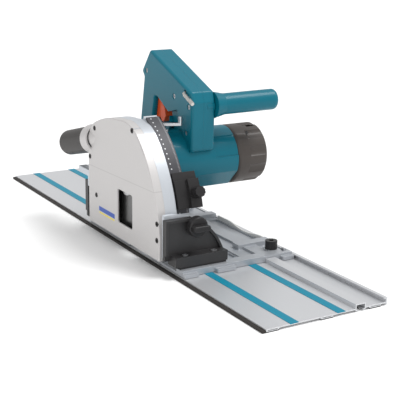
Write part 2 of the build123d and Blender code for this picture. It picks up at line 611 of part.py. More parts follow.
# ================================================================ depth stop
# Block that slides along the scale, clamped by a knob whose screw points at the pivot.
STOP_ANGLE = 20.8
STOP_SPAN = 12.0
STOP_Y = (SCALE_Y[0] + 0.3, -39.0)
STOP_KNOB_R = 7.5
STOP_KNOB_LENGTH = 14.0
STOP_DIR = (cos(radians(STOP_ANGLE)), 0, sin(radians(STOP_ANGLE)))
STOP_MID_Y = sum(STOP_Y) / 2
with BuildPart() as depth_stop:
    low, high = STOP_ANGLE - STOP_SPAN / 2, STOP_ANGLE + STOP_SPAN / 2
    add(arc_band(SCALE_R - 6, SCALE_R + 9, low, high, *STOP_Y))
    add(arc_band(SCALE_R + 0.3, SCALE_R + 5, low, high, SCALE_Y[1] + 2, STOP_Y[0] + 1))
    add(arc_band(SCALE_R + 0.3, SCALE_R + 3.3, high - 0.5, high + 3.5, SCALE_Y[1] + 2, STOP_Y[1]))
    stop_face = Plane(origin=Vector(PIVOT_X, STOP_MID_Y, PIVOT_Z) + Vector(*STOP_DIR) * (SCALE_R + 10),
                      x_dir=(0, 1, 0), z_dir=STOP_DIR)
    with BuildSketch(stop_face):
        Circle(3.0)
    extrude(amount=-12, mode=Mode.SUBTRACT)
write(depth_stop, "depth_stop")

with BuildPart() as depth_stop_knob:
    knob_seat = Plane(origin=Vector(PIVOT_X, STOP_MID_Y, PIVOT_Z) + Vector(*STOP_DIR) * (SCALE_R + 9.3),
                      x_dir=(0, 1, 0), z_dir=STOP_DIR)
    with BuildSketch(knob_seat):
        Circle(STOP_KNOB_R)
        with PolarLocations(STOP_KNOB_R + 0.6, 10):
            Circle(1.2, mode=Mode.SUBTRACT)
    extrude(amount=STOP_KNOB_LENGTH)
    with BuildSketch(knob_seat.offset(-8)):
        Circle(2.95)
    extrude(amount=9)
write(depth_stop_knob, "depth_stop_knob")


# ================================================================ trunnions
# Sector plates bolted to the ends of the case; their arc slots let the head tilt on the studs.
def make_trunnion(face_x, sign):
    start = face_x - sign * TRUNNION_OUT
    slot_low = STUD_ANGLE - 4.0
    slot_high = STUD_ANGLE + BEVEL_RANGE + 4.0
    mid = (slot_low + slot_high) / 2
    half = STUD_D / 2 + 0.35
    with BuildPart() as plate:
        with BuildSketch(at_x(start)):
            with BuildLine():
                ThreePointArc(bevel_point(BRACKET_RADIUS - 0.6, -5), bevel_point(BRACKET_RADIUS - 0.6, 37),
                              bevel_point(BRACKET_RADIUS - 0.6, 79))
                Line(bevel_point(BRACKET_RADIUS - 0.6, 79), bevel_point(58, 77))
                ThreePointArc(bevel_point(58, 77), bevel_point(58, 45), bevel_point(50, 20))
                Polyline(bevel_point(50, 20), (BEVEL_Y + 14, 24), (BEVEL_Y - 7, 24),
                         bevel_point(BRACKET_RADIUS - 0.6, -5))
            make_face()
            with BuildLine():
                ThreePointArc(bevel_point(STUD_RADIUS_AT - half, slot_low), bevel_point(STUD_RADIUS_AT - half, mid),
                              bevel_point(STUD_RADIUS_AT - half, slot_high))
                Line(bevel_point(STUD_RADIUS_AT - half, slot_high), bevel_point(STUD_RADIUS_AT + half, slot_high))
                ThreePointArc(bevel_point(STUD_RADIUS_AT + half, slot_high),
                              bevel_point(STUD_RADIUS_AT + half, mid), bevel_point(STUD_RADIUS_AT + half, slot_low))
                Line(bevel_point(STUD_RADIUS_AT + half, slot_low), bevel_point(STUD_RADIUS_AT - half, slot_low))
            make_face(mode=Mode.SUBTRACT)
        extrude(amount=sign * TRUNNION_THICK)
    return plate


FIX_ZS = (34.0, 56.0)
FIX_Y = -86.0
front_trunnion_plate = make_trunnion(FRONT_FACE_X, 1)
with BuildPart() as front_trunnion:
    add(front_trunnion_plate.part)
    front_back = FRONT_FACE_X - TRUNNION_OUT
    add(block((CASE_RADIUS + PIVOT_X + 0.3, front_back), (BEVEL_Y - 4, -80), (24, 60)))
    add(block((front_back - 26, front_back), (CASE_INNER_Y + 0.2, -66), (24, 48)))
    for z in FIX_ZS[:1]:
        with Locations(Location((front_back - 14, -70, z), (90, 0, 0))):
            Cylinder(2.6, 30, mode=Mode.SUBTRACT)
write(front_trunnion, "front_trunnion")

rear_trunnion_plate = make_trunnion(REAR_FACE_X, -1)
LUG_Z = (BRACKET_RADIUS + 1.5, 94.0)
with BuildPart() as rear_trunnion:
    add(rear_trunnion_plate.part)
    rear_back = REAR_FACE_X + TRUNNION_OUT
    add(block((rear_back - 1, rear_back + 20), (CASE_INNER_Y + 0.2, -66), (24, 48)))
    add(block((rear_back - TRUNNION_THICK, rear_back), (-104, -91), (70, LUG_Z[1])))
    add(block((-84, rear_back), (-104, -92), LUG_Z))
    with Locations(Location((rear_back + 14, -70, FIX_ZS[0]), (90, 0, 0))):
        Cylinder(2.6, 30, mode=Mode.SUBTRACT)
write(rear_trunnion, "rear_trunnion")

# Screws from the trunnion feet into the back wall of the case.
with BuildPart() as trunnion_screws:
    for x in (FRONT_FACE_X - TRUNNION_OUT - 14, REAR_FACE_X + TRUNNION_OUT + 14):
        add(ring_on(x, FIX_ZS[0], -66, -62.5, 4.4))
        add(ring_on(x, FIX_ZS[0], CASE_INNER_Y + 0.2, -66, 2.5))
        add(ring_on(x, FIX_ZS[0], -64, -62, 2.2), mode=Mode.SUBTRACT)
write(trunnion_screws, "trunnion_screws")

# ================================================================ dust nozzle
# Hose stub with a spigot that turns inside the outlet.
NOZZLE_LENGTH = 86.0
SPIGOT_DEEP = 9.0
NOZZLE_AXIS = (-cos(radians(OUTLET_LEAN)), 0, -sin(radians(OUTLET_LEAN)))
NOZZLE_ROOT = Vector(OUTLET_START[0], OUTLET_Y, OUTLET_START[1]) + Vector(*NOZZLE_AXIS) * (OUTLET_LENGTH + 0.3)
with BuildPart() as dust_nozzle:
    nozzle_plane = Plane(origin=NOZZLE_ROOT, x_dir=(0, 1, 0), z_dir=NOZZLE_AXIS)
    with BuildSketch(nozzle_plane):
        Circle(NOZZLE_R + 1.2)
    extrude(amount=3)
    with BuildSketch(nozzle_plane):
        Circle(NOZZLE_R)
    extrude(amount=NOZZLE_LENGTH, taper=0.4)
    with BuildSketch(nozzle_plane):
        Circle(OUTLET_BORE - 0.08)
    extrude(amount=-SPIGOT_DEEP)
    with BuildSketch(nozzle_plane.offset(-SPIGOT_DEEP - 1)):
        Circle(NOZZLE_BORE_R)
    extrude(amount=NOZZLE_LENGTH + SPIGOT_DEEP + 2, mode=Mode.SUBTRACT)
write(dust_nozzle, "dust_nozzle")

# ================================================================ plunge pivot
# Shaft pressed into the case wall; the gear housing swings on it against a torsion spring.
HUB_R = 13.0
BUSH_R = 8.0
RUN_GAP = 0.05
HUB_Y = (-74.0, -44.0)
SHAFT_END_Y = -24.0
with BuildPart() as pivot_shaft:
    add(ring_on(PIVOT_X, PIVOT_Z, CASE_INNER_Y - CASE_WALL, SHAFT_END_Y, SHAFT_R))
    add(ring_on(PIVOT_X, PIVOT_Z, SHAFT_END_Y - 2, SHAFT_END_Y, HUB_R))
write(pivot_shaft, "pivot_shaft")

with BuildPart() as pivot_bushes:
    for y in (HUB_Y[0], HUB_Y[1] - 8):
        add(ring_on(PIVOT_X, PIVOT_Z, y, y + 8, BUSH_R, SHAFT_R + RUN_GAP))
write(pivot_bushes, "pivot_bushes")

SPRING_R = 10.5
SPRING_WIRE = 1.0
with BuildPart() as return_spring:
    with BuildLine() as coil:
        Helix(pitch=2.8, height=14, radius=SPRING_R, center=(PIVOT_X, HUB_Y[1] + 1.6, PIVOT_Z), direction=(0, 1, 0))
    with BuildSketch(Plane(origin=coil.line @ 0, z_dir=coil.line % 0)):
        Circle(SPRING_WIRE)
    sweep(is_frenet=True)
write(return_spring, "return_spring")

# ================================================================ gear housing
# Two castings: the gear housing with the neck, hub and arm, and the bearing bracket that
# closes it and carries the motor.
SPLIT_Y = -54.0
GEAR_BOX_R = 24.0
MOTOR_BOX_R = 38.0
NECK_Y = -88.0
GEAR_Y = (-68.0, -57.0)
BORE_CLEAR = 1.0
GEAR_TIP = GEAR_MODULE * (GEAR_TEETH / 2 + 0.8)
GEAR_ROOT = GEAR_MODULE * (GEAR_TEETH / 2 - 1.1)
PINION_TIP = GEAR_MODULE * (PINION_TEETH / 2 + 0.8)
PINION_ROOT = GEAR_MODULE * (PINION_TEETH / 2 - 1.1)
GEAR_TOOTH = (1.9, 0.8)
PINION_TOOTH = (1.6, 0.6)
SPINDLE_R = 6.0
FRONT_RACE_R = 14.0
FRONT_RACE_Y = (-88.0, -80.0)
REAR_RACE_R = 9.5
REAR_RACE_BORE = 5.0
REAR_RACE_Y = (-54.0, -47.0)
ARM_RACE_R = 13.0
ARM_RACE_Y = (-46.0, -38.0)
ARM_SHAFT_R = 5.0
FLAT_ANGLE = PLUNGE_ANGLE - 90


def motor_flat(y_low, y_high):
    """Block that trims the side of the motor facing the base when the saw is plunged."""
    plane = Plane(origin=(MOTOR_X, (y_low + y_high) / 2, MOTOR_Z), x_dir=(0, 1, 0),
                  z_dir=(cos(radians(FLAT_ANGLE)), 0, sin(radians(FLAT_ANGLE))))
    with BuildPart() as trim:
        with BuildSketch(plane.offset(MOTOR_FLAT)):
            Rectangle(y_high - y_low + 1, 60)
        extrude(amount=10)
    return trim.part


def case_hull(y_low, y_high, circles):
    """Prism over the hull of circles given as (x, z, radius)."""
    with BuildPart() as prism:
        with BuildSketch(at_y(y_high)):
            for x, z, radius in circles:
                with Locations((x, z)):
                    Circle(radius)
            make_hull()
        extrude(amount=y_high - y_low)
    return prism.part


with BuildPart() as gear_housing:
    add(case_hull(-72, SPLIT_Y, ((ARBOR_X, ARBOR_Z, GEAR_BOX_R), (MOTOR_X, MOTOR_Z, 30))))
    add(case_hull(-70, SPLIT_Y, ((PIVOT_X, PIVOT_Z, HUB_R), (ARBOR_X - 8, ARBOR_Z + 4, 15))))
    add(ring_on(PIVOT_X, PIVOT_Z, *HUB_Y, HUB_R))
    add(ring_on(ARBOR_X, ARBOR_Z, NECK_Y, -71, NECK_R))
    add(ring_on(ARBOR_X, ARBOR_Z, -69, SPLIT_Y, GEAR_TIP + BORE_CLEAR), mode=Mode.SUBTRACT)
    add(ring_on(MOTOR_X, MOTOR_Z, -70, SPLIT_Y, 7), mode=Mode.SUBTRACT)
    add(ring_on(ARBOR_X, ARBOR_Z, NECK_Y, FRONT_RACE_Y[1], FRONT_RACE_R), mode=Mode.SUBTRACT)
    add(ring_on(ARBOR_X, ARBOR_Z, NECK_Y, -60, 10), mode=Mode.SUBTRACT)
    add(ring_on(PIVOT_X, PIVOT_Z, *HUB_Y, BUSH_R), mode=Mode.SUBTRACT)
write(gear_housing, "gear_housing")

LEVER_HUB = (63.0, -46.7, 176.0)
SPRING_SEAT = (82.0, -46.7, 158.0)
with BuildPart() as bearing_bracket:
    add(case_hull(SPLIT_Y, -40, ((MOTOR_X, MOTOR_Z, MOTOR_BOX_R), (ARBOR_X, ARBOR_Z, GEAR_BOX_R))))
    add(ring_on(MOTOR_X, MOTOR_Z, -40, MOTOR_FRONT_Y, MOTOR_R))
    add(motor_flat(-41, MOTOR_FRONT_Y), mode=Mode.SUBTRACT)
    for x, y, top in (LEVER_HUB, SPRING_SEAT):
        with Locations((x, y, (top + 140) / 2)):
            Cylinder(6, top - 140)
    with Locations((LEVER_HUB[0], LEVER_HUB[1], LEVER_HUB[2] - 5)):
        Cylinder(3, 14, mode=Mode.SUBTRACT)
    add(ring_on(ARBOR_X, ARBOR_Z, REAR_RACE_Y[0], REAR_RACE_Y[1], REAR_RACE_R), mode=Mode.SUBTRACT)
    add(ring_on(MOTOR_X, MOTOR_Z, SPLIT_Y, ARM_RACE_Y[0], 7), mode=Mode.SUBTRACT)
    add(ring_on(MOTOR_X, MOTOR_Z, ARM_RACE_Y[0], MOTOR_FRONT_Y, ARM_RACE_R), mode=Mode.SUBTRACT)
write(bearing_bracket, "bearing_bracket")

with BuildPart() as spindle_bearings:
    add(ring_on(ARBOR_X, ARBOR_Z, *FRONT_RACE_Y, FRONT_RACE_R, SPINDLE_R + RUN_GAP))
    add(ring_on(ARBOR_X, ARBOR_Z, *REAR_RACE_Y, REAR_RACE_R, REAR_RACE_BORE + RUN_GAP))
write(spindle_bearings, "spindle_bearings")

# ================================================================ spindle, blade and gear train
FLANGE_FACE_Y = BLADE_Y + BLADE_PLATE / 2
OUTER_FACE_Y = BLADE_Y - BLADE_PLATE / 2
FLANGE_R = 20.0
BOLT_R = 4.0
with BuildPart() as spindle:
    add(ring_on(ARBOR_X, ARBOR_Z, FLANGE_FACE_Y - 0.6, -55, SPINDLE_R))
    add(ring_on(ARBOR_X, ARBOR_Z, -56, REAR_RACE_Y[1], REAR_RACE_BORE))
    add(ring_on(ARBOR_X, ARBOR_Z, -80, -69, 8))
    add(ring_on(ARBOR_X, ARBOR_Z, -105, -82, BOLT_R), mode=Mode.SUBTRACT)
write(spindle, "spindle")

with BuildPart() as inner_flange:
    add(ring_on(ARBOR_X, ARBOR_Z, FLANGE_FACE_Y, -89.5, FLANGE_R, SPINDLE_R))
    add(ring_on(ARBOR_X, ARBOR_Z, FLANGE_FACE_Y - 1.2, FLANGE_FACE_Y, BLADE_BORE / 2 - 0.03, SPINDLE_R))
    add(ring_on(ARBOR_X, ARBOR_Z, FLANGE_FACE_Y, FLANGE_FACE_Y + 0.5, FLANGE_R - 6, BLADE_BORE / 2),
        mode=Mode.SUBTRACT)
write(inner_flange, "inner_flange")

with BuildPart() as outer_flange:
    add(ring_on(ARBOR_X, ARBOR_Z, OUTER_FACE_Y - 2.4, OUTER_FACE_Y, FLANGE_R, BOLT_R))
    fillet(outer_flange.faces().sort_by(Axis.Y)[0].outer_wire().edges(), 1)
write(outer_flange, "outer_flange")

with BuildPart() as blade_bolt:
    add(ring_on(ARBOR_X, ARBOR_Z, OUTER_FACE_Y - 5.0, OUTER_FACE_Y - 2.4, 8))
    add(ring_on(ARBOR_X, ARBOR_Z, OUTER_FACE_Y - 2.4, -84, BOLT_R))
    with BuildSketch(at_y(OUTER_FACE_Y - 3)):
        with Locations((ARBOR_X, ARBOR_Z)):
            RegularPolygon(2.5, 6, major_radius=False)
    extrude(amount=3, mode=Mode.SUBTRACT)
write(blade_bolt, "blade_bolt")

# Blade: slim plate with gullets, carbide tips wider than the plate, and relief slots.
TOOTH_DEEP = 5.0
TIP_LONG = 4.0
PLATE_R = BLADE_D / 2 - 0.6
TOOTH_STEP = 360 / BLADE_TEETH
with BuildPart() as saw_blade:
    with BuildSketch(at_y(FLANGE_FACE_Y)):
        with Locations((ARBOR_X, ARBOR_Z)):
            Circle(PLATE_R)
            Circle(BLADE_BORE / 2, mode=Mode.SUBTRACT)
        for tooth in range(BLADE_TEETH):
            angle = -tooth * TOOTH_STEP
            with BuildLine():
                Polyline(round_about(ARBOR_X, ARBOR_Z, PLATE_R + 1, angle),
                         round_about(ARBOR_X, ARBOR_Z, PLATE_R - TOOTH_DEEP, angle + 1.2),
                         round_about(ARBOR_X, ARBOR_Z, PLATE_R - TOOTH_DEEP + 1, angle - 0.36 * TOOTH_STEP),
                         round_about(ARBOR_X, ARBOR_Z, PLATE_R + 1, angle - 0.52 * TOOTH_STEP),
                         close=True)
            make_face(mode=Mode.SUBTRACT)
    extrude(amount=BLADE_PLATE)
    with BuildSketch(at_y(BLADE_Y + BLADE_KERF / 2)):
        for tooth in range(BLADE_TEETH):
            angle = -tooth * TOOTH_STEP
            with BuildLine():
                Polyline(round_about(ARBOR_X, ARBOR_Z, BLADE_D / 2, angle),
                         round_about(ARBOR_X, ARBOR_Z, BLADE_D / 2 - TIP_LONG, angle + 0.9),
                         round_about(ARBOR_X, ARBOR_Z, BLADE_D / 2 - TIP_LONG, angle + 2.2),
                         round_about(ARBOR_X, ARBOR_Z, BLADE_D / 2 - 0.3, angle + 1.6),
                         close=True)
            make_face()
    extrude(amount=BLADE_KERF)
write(saw_blade, "saw_blade")


def gear_blank(x, z, teeth, tip, root, first, widths, y_low, y_high):
    """Spur gear with straight-sided teeth, whose widths are given at the root and at the tip."""
    wide = degrees(widths[0] / 2 / root)
    slim = degrees(widths[1] / 2 / tip)
    with BuildPart() as gear:
        with BuildSketch(at_y(y_high)):
            with Locations((x, z)):
                Circle(root)
            for tooth in range(teeth):
                angle = first + tooth * 360 / teeth
                with BuildLine():
                    Polyline(round_about(x, z, root - 0.4, angle - wide), round_about(x, z, tip, angle - slim),
                             round_about(x, z, tip, angle + slim), round_about(x, z, root - 0.4, angle + wide),
                             close=True)
                make_face()
        extrude(amount=y_high - y_low)
    return gear.part


with BuildPart() as drive_gear:
    add(gear_blank(ARBOR_X, ARBOR_Z, GEAR_TEETH, GEAR_TIP, GEAR_ROOT, MOTOR_LEAN + 180 / GEAR_TEETH,
                   GEAR_TOOTH, *GEAR_Y))
    add(ring_on(ARBOR_X, ARBOR_Z, GEAR_Y[0] - 1, GEAR_Y[1] + 1, SPINDLE_R), mode=Mode.SUBTRACT)
write(drive_gear, "drive_gear")

# ================================================================ motor
CORE_R = 22.0
CORE_Y = (-8.0, 56.0)
POLE_R = 23.2
COIL_SPAN = 50.0
FAN_R = 35.0
FAN_Y = (-33.0, -20.0)
FAN_BLADES = 12
COMM_R = 13.0
COMM_Y = (80.0, 98.0)
TAIL_RACE_R = 11.0
TAIL_SHAFT_R = 4.0
TAIL_RACE_Y = (102.0, 109.0)
BRUSH_ANGLES = (58.0, 238.0)
BRUSH_Y = 89.0

with BuildPart() as armature_shaft:
    add(gear_blank(MOTOR_X, MOTOR_Z, PINION_TEETH, PINION_TIP, PINION_ROOT, MOTOR_LEAN + 180,
                   PINION_TOOTH, GEAR_Y[0] - 0.5, GEAR_Y[1] + 0.5))
    add(ring_on(MOTOR_X, MOTOR_Z, GEAR_Y[1] + 0.4, COMM_Y[0], ARM_SHAFT_R))
    add(ring_on(MOTOR_X, MOTOR_Z, COMM_Y[0], TAIL_RACE_Y[1] + 1, TAIL_SHAFT_R))
write(armature_shaft, "armature_shaft")

with BuildPart() as armature_core:
    with BuildSketch(at_y(CORE_Y[1])):
        with Locations((MOTOR_X, MOTOR_Z)):
            Circle(CORE_R)
            with PolarLocations(CORE_R, 12):
                Rectangle(3, 1.2, mode=Mode.SUBTRACT)
            Circle(ARM_SHAFT_R, mode=Mode.SUBTRACT)
    extrude(amount=CORE_Y[1] - CORE_Y[0])
    add(ring_on(MOTOR_X, MOTOR_Z, CORE_Y[0] - 7, CORE_Y[1] + 9, CORE_R - 4, ARM_SHAFT_R))
    with BuildSketch(at_y(COMM_Y[1])):
        with Locations((MOTOR_X, MOTOR_Z)):
            Circle(COMM_R)
            with PolarLocations(COMM_R, 24):
                Rectangle(1.2, 0.5, mode=Mode.SUBTRACT)
            Circle(TAIL_SHAFT_R, mode=Mode.SUBTRACT)
    extrude(amount=COMM_Y[1] - COMM_Y[0])
    add(ring_on(MOTOR_X, MOTOR_Z, CORE_Y[1] + 8, COMM_Y[0] + 1, 9, ARM_SHAFT_R))
write(armature_core, "armature_core")

with BuildPart() as cooling_fan:
    add(ring_on(MOTOR_X, MOTOR_Z, FAN_Y[0], FAN_Y[0] + 2, FAN_R, ARM_SHAFT_R))
    add(ring_on(MOTOR_X, MOTOR_Z, *FAN_Y, 9, ARM_SHAFT_R))
    with BuildSketch(at_y(FAN_Y[1])):
        with Locations((MOTOR_X, MOTOR_Z)):
            with PolarLocations((FAN_R + 12) / 2, FAN_BLADES, rotate=True):
                Rectangle(FAN_R - 12, 1.4)
    extrude(amount=FAN_Y[1] - FAN_Y[0])
write(cooling_fan, "cooling_fan")

with BuildPart() as armature_bearings:
    add(ring_on(MOTOR_X, MOTOR_Z, *ARM_RACE_Y, ARM_RACE_R, ARM_SHAFT_R + RUN_GAP))
    add(ring_on(MOTOR_X, MOTOR_Z, *TAIL_RACE_Y, TAIL_RACE_R, TAIL_SHAFT_R + RUN_GAP))
write(armature_bearings, "armature_bearings")

with BuildPart() as stator:
    add(ring_on(MOTOR_X, MOTOR_Z, *CORE_Y, MOTOR_BORE_R, 29))
    for angle in BRUSH_ANGLES:
        add(arc_band(POLE_R, 29.5, angle - COIL_SPAN, angle + COIL_SPAN, *CORE_Y, MOTOR_X, MOTOR_Z))
    for angle in BRUSH_ANGLES:
        add(arc_band(POLE_R + 0.6, 28.6, angle - COIL_SPAN, angle + COIL_SPAN, CORE_Y[0] - 8, CORE_Y[1] + 8,
                     MOTOR_X, MOTOR_Z))
write(stator, "stator")

# Moulded motor housing: a tube with one trimmed side and a shallow panel towards the front.
SCREW_ANGLES = (12.0, 168.0, 200.0, 340.0)
SCREW_AT_R = 34.0
PANEL = (10.0, 52.0)
LUGS = ((56.0, 16.0), (173.0, 21.0))
LUG_HALF = 6.0
LUG_EDGE = 6.0
LUG_Y = (3.0, 9.0)
with BuildPart() as motor_housing:
    add(ring_on(MOTOR_X, MOTOR_Z, MOTOR_FRONT_Y, MOTOR_JOINT_Y, MOTOR_R))
    add(arc_band(MOTOR_R - 1.2, MOTOR_R + 1, *PANEL, HANDLE_RIGHT_Y + 5, MOTOR_JOINT_Y + 1, MOTOR_X, MOTOR_Z),
        mode=Mode.SUBTRACT)
    add(motor_flat(MOTOR_FRONT_Y, MOTOR_JOINT_Y), mode=Mode.SUBTRACT)
    add(ring_on(MOTOR_X, MOTOR_Z, MOTOR_FRONT_Y, MOTOR_JOINT_Y, MOTOR_BORE_R), mode=Mode.SUBTRACT)
    for angle in SCREW_ANGLES:
        x, z = round_about(MOTOR_X, MOTOR_Z, SCREW_AT_R, angle)
        add(ring_on(x, z, CORE_Y[1] + 1, MOTOR_JOINT_Y, 5))
    for angle in SCREW_ANGLES:
        x, z = round_about(MOTOR_X, MOTOR_Z, SCREW_AT_R, angle)
        add(ring_on(x, z, CORE_Y[1] + 1, MOTOR_JOINT_Y, 2), mode=Mode.SUBTRACT)
    # lugs that the handle shells clamp on
    for angle, reach in LUGS:
        add(arc_band(MOTOR_R - 1, MOTOR_R + reach, angle - LUG_HALF, angle + LUG_HALF, *LUG_Y, MOTOR_X, MOTOR_Z))
        x, z = round_about(MOTOR_X, MOTOR_Z, MOTOR_R + reach - LUG_EDGE, angle)
        add(ring_on(x, z, LUG_Y[0] - 1, LUG_Y[1] + 1, 2.1), mode=Mode.SUBTRACT)
write(motor_housing, "motor_housing")

CAP_WALL = 3.2
CAP_TURN_Y = 101.0
CAP_END_R = 34.0
BRUSH_CAP_R = 6.5
with BuildPart() as motor_end_cap:
    with BuildSketch(Plane.XY) as cap_profile:
        with BuildLine():
            Line((0, MOTOR_JOINT_Y), (MOTOR_R, MOTOR_JOINT_Y))
            Line((MOTOR_R, MOTOR_JOINT_Y), (MOTOR_R, CAP_TURN_Y))
            RadiusArc((MOTOR_R, CAP_TURN_Y), (CAP_END_R, MOTOR_END_Y), -24)
            Line((CAP_END_R, MOTOR_END_Y), (0, MOTOR_END_Y))
            Line((0, MOTOR_END_Y), (0, MOTOR_JOINT_Y))
        make_face()
    revolve(axis=Axis.Y)
    cap_solid = motor_end_cap.part
with BuildPart() as motor_end_cap:
    add(cap_solid.moved(Location((MOTOR_X, 0, MOTOR_Z))))
    add(arc_band(MOTOR_R - 1.2, MOTOR_R + 1, *PANEL, MOTOR_JOINT_Y - 1, CAP_TURN_Y - 4, MOTOR_X, MOTOR_Z),
        mode=Mode.SUBTRACT)
    add(motor_flat(MOTOR_JOINT_Y, MOTOR_END_Y), mode=Mode.SUBTRACT)
    add(ring_on(MOTOR_X, MOTOR_Z, MOTOR_JOINT_Y - 1, CAP_TURN_Y, MOTOR_BORE_R), mode=Mode.SUBTRACT)
    add(ring_on(MOTOR_X, MOTOR_Z, CAP_TURN_Y - 1, MOTOR_END_Y - CAP_WALL, CAP_END_R - 1), mode=Mode.SUBTRACT)
    add(ring_on(MOTOR_X, MOTOR_Z, TAIL_RACE_Y[0] - 1, MOTOR_END_Y - CAP_WALL, TAIL_RACE_R + 3))
    add(ring_on(MOTOR_X, MOTOR_Z, TAIL_RACE_Y[0] - 2, TAIL_RACE_Y[1], TAIL_RACE_R), mode=Mode.SUBTRACT)
    add(ring_on(MOTOR_X, MOTOR_Z, TAIL_RACE_Y[0] - 2, TAIL_RACE_Y[1] + 2, TAIL_SHAFT_R + 1), mode=Mode.SUBTRACT)
    for angle in SCREW_ANGLES:
        x, z = round_about(MOTOR_X, MOTOR_Z, SCREW_AT_R, angle)
        add(ring_on(x, z, MOTOR_JOINT_Y, CAP_TURN_Y + 6, 5))
    for angle in SCREW_ANGLES:
        x, z = round_about(MOTOR_X, MOTOR_Z, SCREW_AT_R, angle)
        add(ring_on(x, z, MOTOR_JOINT_Y - 1, MOTOR_END_Y, 2.1), mode=Mode.SUBTRACT)
        add(ring_on(x, z, MOTOR_END_Y - 7, MOTOR_END_Y + 1, 4), mode=Mode.SUBTRACT)
    for angle in BRUSH_ANGLES:
        brush_dir = (cos(radians(angle)), 0, sin(radians(angle)))
        brush_plane = Plane(origin=(MOTOR_X, BRUSH_Y, MOTOR_Z), x_dir=(0, 1, 0), z_dir=brush_dir)
        with BuildSketch(brush_plane.offset(30)):
            Circle(BRUSH_CAP_R + 0.2)
        extrude(amount=20, mode=Mode.SUBTRACT)
write(motor_end_cap, "motor_end_cap")

with BuildPart() as housing_screws:
    for angle in SCREW_ANGLES:
        x, z = round_about(MOTOR_X, MOTOR_Z, SCREW_AT_R, angle)
        add(ring_on(x, z, MOTOR_END_Y - 7, MOTOR_END_Y - 4, 3.6))
        add(ring_on(x, z, CORE_Y[1] + 3, MOTOR_END_Y - 7, 1.95))
    for angle in SCREW_ANGLES:
        x, z = round_about(MOTOR_X, MOTOR_Z, SCREW_AT_R, angle)
        add(ring_on(x, z, MOTOR_END_Y - 5.5, MOTOR_END_Y, 1.6), mode=Mode.SUBTRACT)
write(housing_screws, "housing_screws")

# Brush gear: square brass tubes, carbon blocks and slotted screw caps.
HOLDER_WIDE = 8.0
HOLDER_TALL = 10.0
BRUSH_WIDE = 5.0
BRUSH_TALL = 7.0

def radial_prism(angle, start, end, wide, tall, round_radius=0.0):
    """Box or rod pointing out from the motor's axis at the brush station."""
    plane = Plane(origin=(MOTOR_X, BRUSH_Y, MOTOR_Z), x_dir=(0, 1, 0),
                  z_dir=(cos(radians(angle)), 0, sin(radians(angle))))
    with BuildPart() as prism:
        with BuildSketch(plane.offset(start)):
            if round_radius:
                Circle(round_radius)
            else:
                Rectangle(wide, tall)
        extrude(amount=end - start)
    return prism.part


with BuildPart() as brush_holders:
    for angle in BRUSH_ANGLES:
        add(radial_prism(angle, COMM_R + 2, MOTOR_BORE_R - 1, HOLDER_WIDE, HOLDER_TALL))
        add(radial_prism(angle, COMM_R + 1, MOTOR_BORE_R, BRUSH_WIDE + 0.1, BRUSH_TALL + 0.1), mode=Mode.SUBTRACT)
write(brush_holders, "brush_holders")

with BuildPart() as carbon_brushes:
    for angle in BRUSH_ANGLES:
        add(radial_prism(angle, COMM_R + 0.3, COMM_R + 14, BRUSH_WIDE, BRUSH_TALL))
write(carbon_brushes, "carbon_brushes")

with BuildPart() as brush_caps:
    for angle in BRUSH_ANGLES:
        add(radial_prism(angle, MOTOR_BORE_R - 0.9, MOTOR_R - 1.0, 0, 0, BRUSH_CAP_R))
        add(radial_prism(angle, MOTOR_R - 2.5, MOTOR_R, 9, 1.6), mode=Mode.SUBTRACT)
write(brush_caps, "brush_caps")

# ================================================================ handle
# Two hollow shells parted on the handle's centre plane, with a loop for the hand.
HANDLE_POINTS = ((-28, 270), (-54, 236), (-47, 228), (-58, 166), (-60, 140), (-44, 118), (0, 108),
                 (MOTOR_X, MOTOR_Z), (95, 141), (97, 210), (91, 224))
LOOP_POINTS = ((-12, 206), (26, 186), (30, 172), (14, 158), (-6, 146), (-21, 150), (-19, 169))
RECESS_POINTS = ((24, 186.5), (54, 194), (63, 179), (83, 141), (83, 100), (0, 100), (0, 150), (28, 150), (33, 172))
RECESS_DEEP = 8.0
HANDLE_BORE_R = MOTOR_R + 0.05
HANDLE_CORNER = 5.0
BOSS_R = 5.5
SCREW_R = 1.9
SCREW_HEAD = 3.6
SHELL_SCREWS = ((-38.0, 238.0), (-46.0, 150.0), (45.0, 212.0))
LUG_SCREWS = tuple(round_about(MOTOR_X, MOTOR_Z, MOTOR_R + reach - LUG_EDGE, angle) for angle, reach in LUGS)
GRIP_ROOT = (87.4, HANDLE_RIGHT_Y, 203.4)
GRIP_TIP = (101.0, 124.0, 207.0)
SPIGOT_R = 8.0
SPIGOT_END_Y = 10.0
GRIP_SCREW = (GRIP_ROOT[0] - 1, GRIP_ROOT[2] - 0.4)
TRIGGER_Y = (-6.0, 18.0)
TRIGGER_X = -24.0
TRIGGER_Z = 204.0
BUTTON_AT = (-35.3, 260.5)
BUTTON_SIZE = (10.0, 9.0)
SLOPE = Vector(-28 + 54, 0, 270 - 236).normalized()
SLOPE_OUT = Vector(-SLOPE.Z, 0, SLOPE.X)
WRENCH_LEG = ((76.5, 221.8), (103.0, 210.0))
WRENCH_AF = 5.0
WRENCH_Y = HANDLE_LEFT_Y - WRENCH_AF / 2 - 0.6
WRENCH_END_Y = 16.0
GRIP_BACK = ((-57.4, 169.0), (-47.6, 225.0))
GLAND_AT = (-52.0, 129.0)
GLAND_DIR = Vector(-22, 0, -16).normalized()


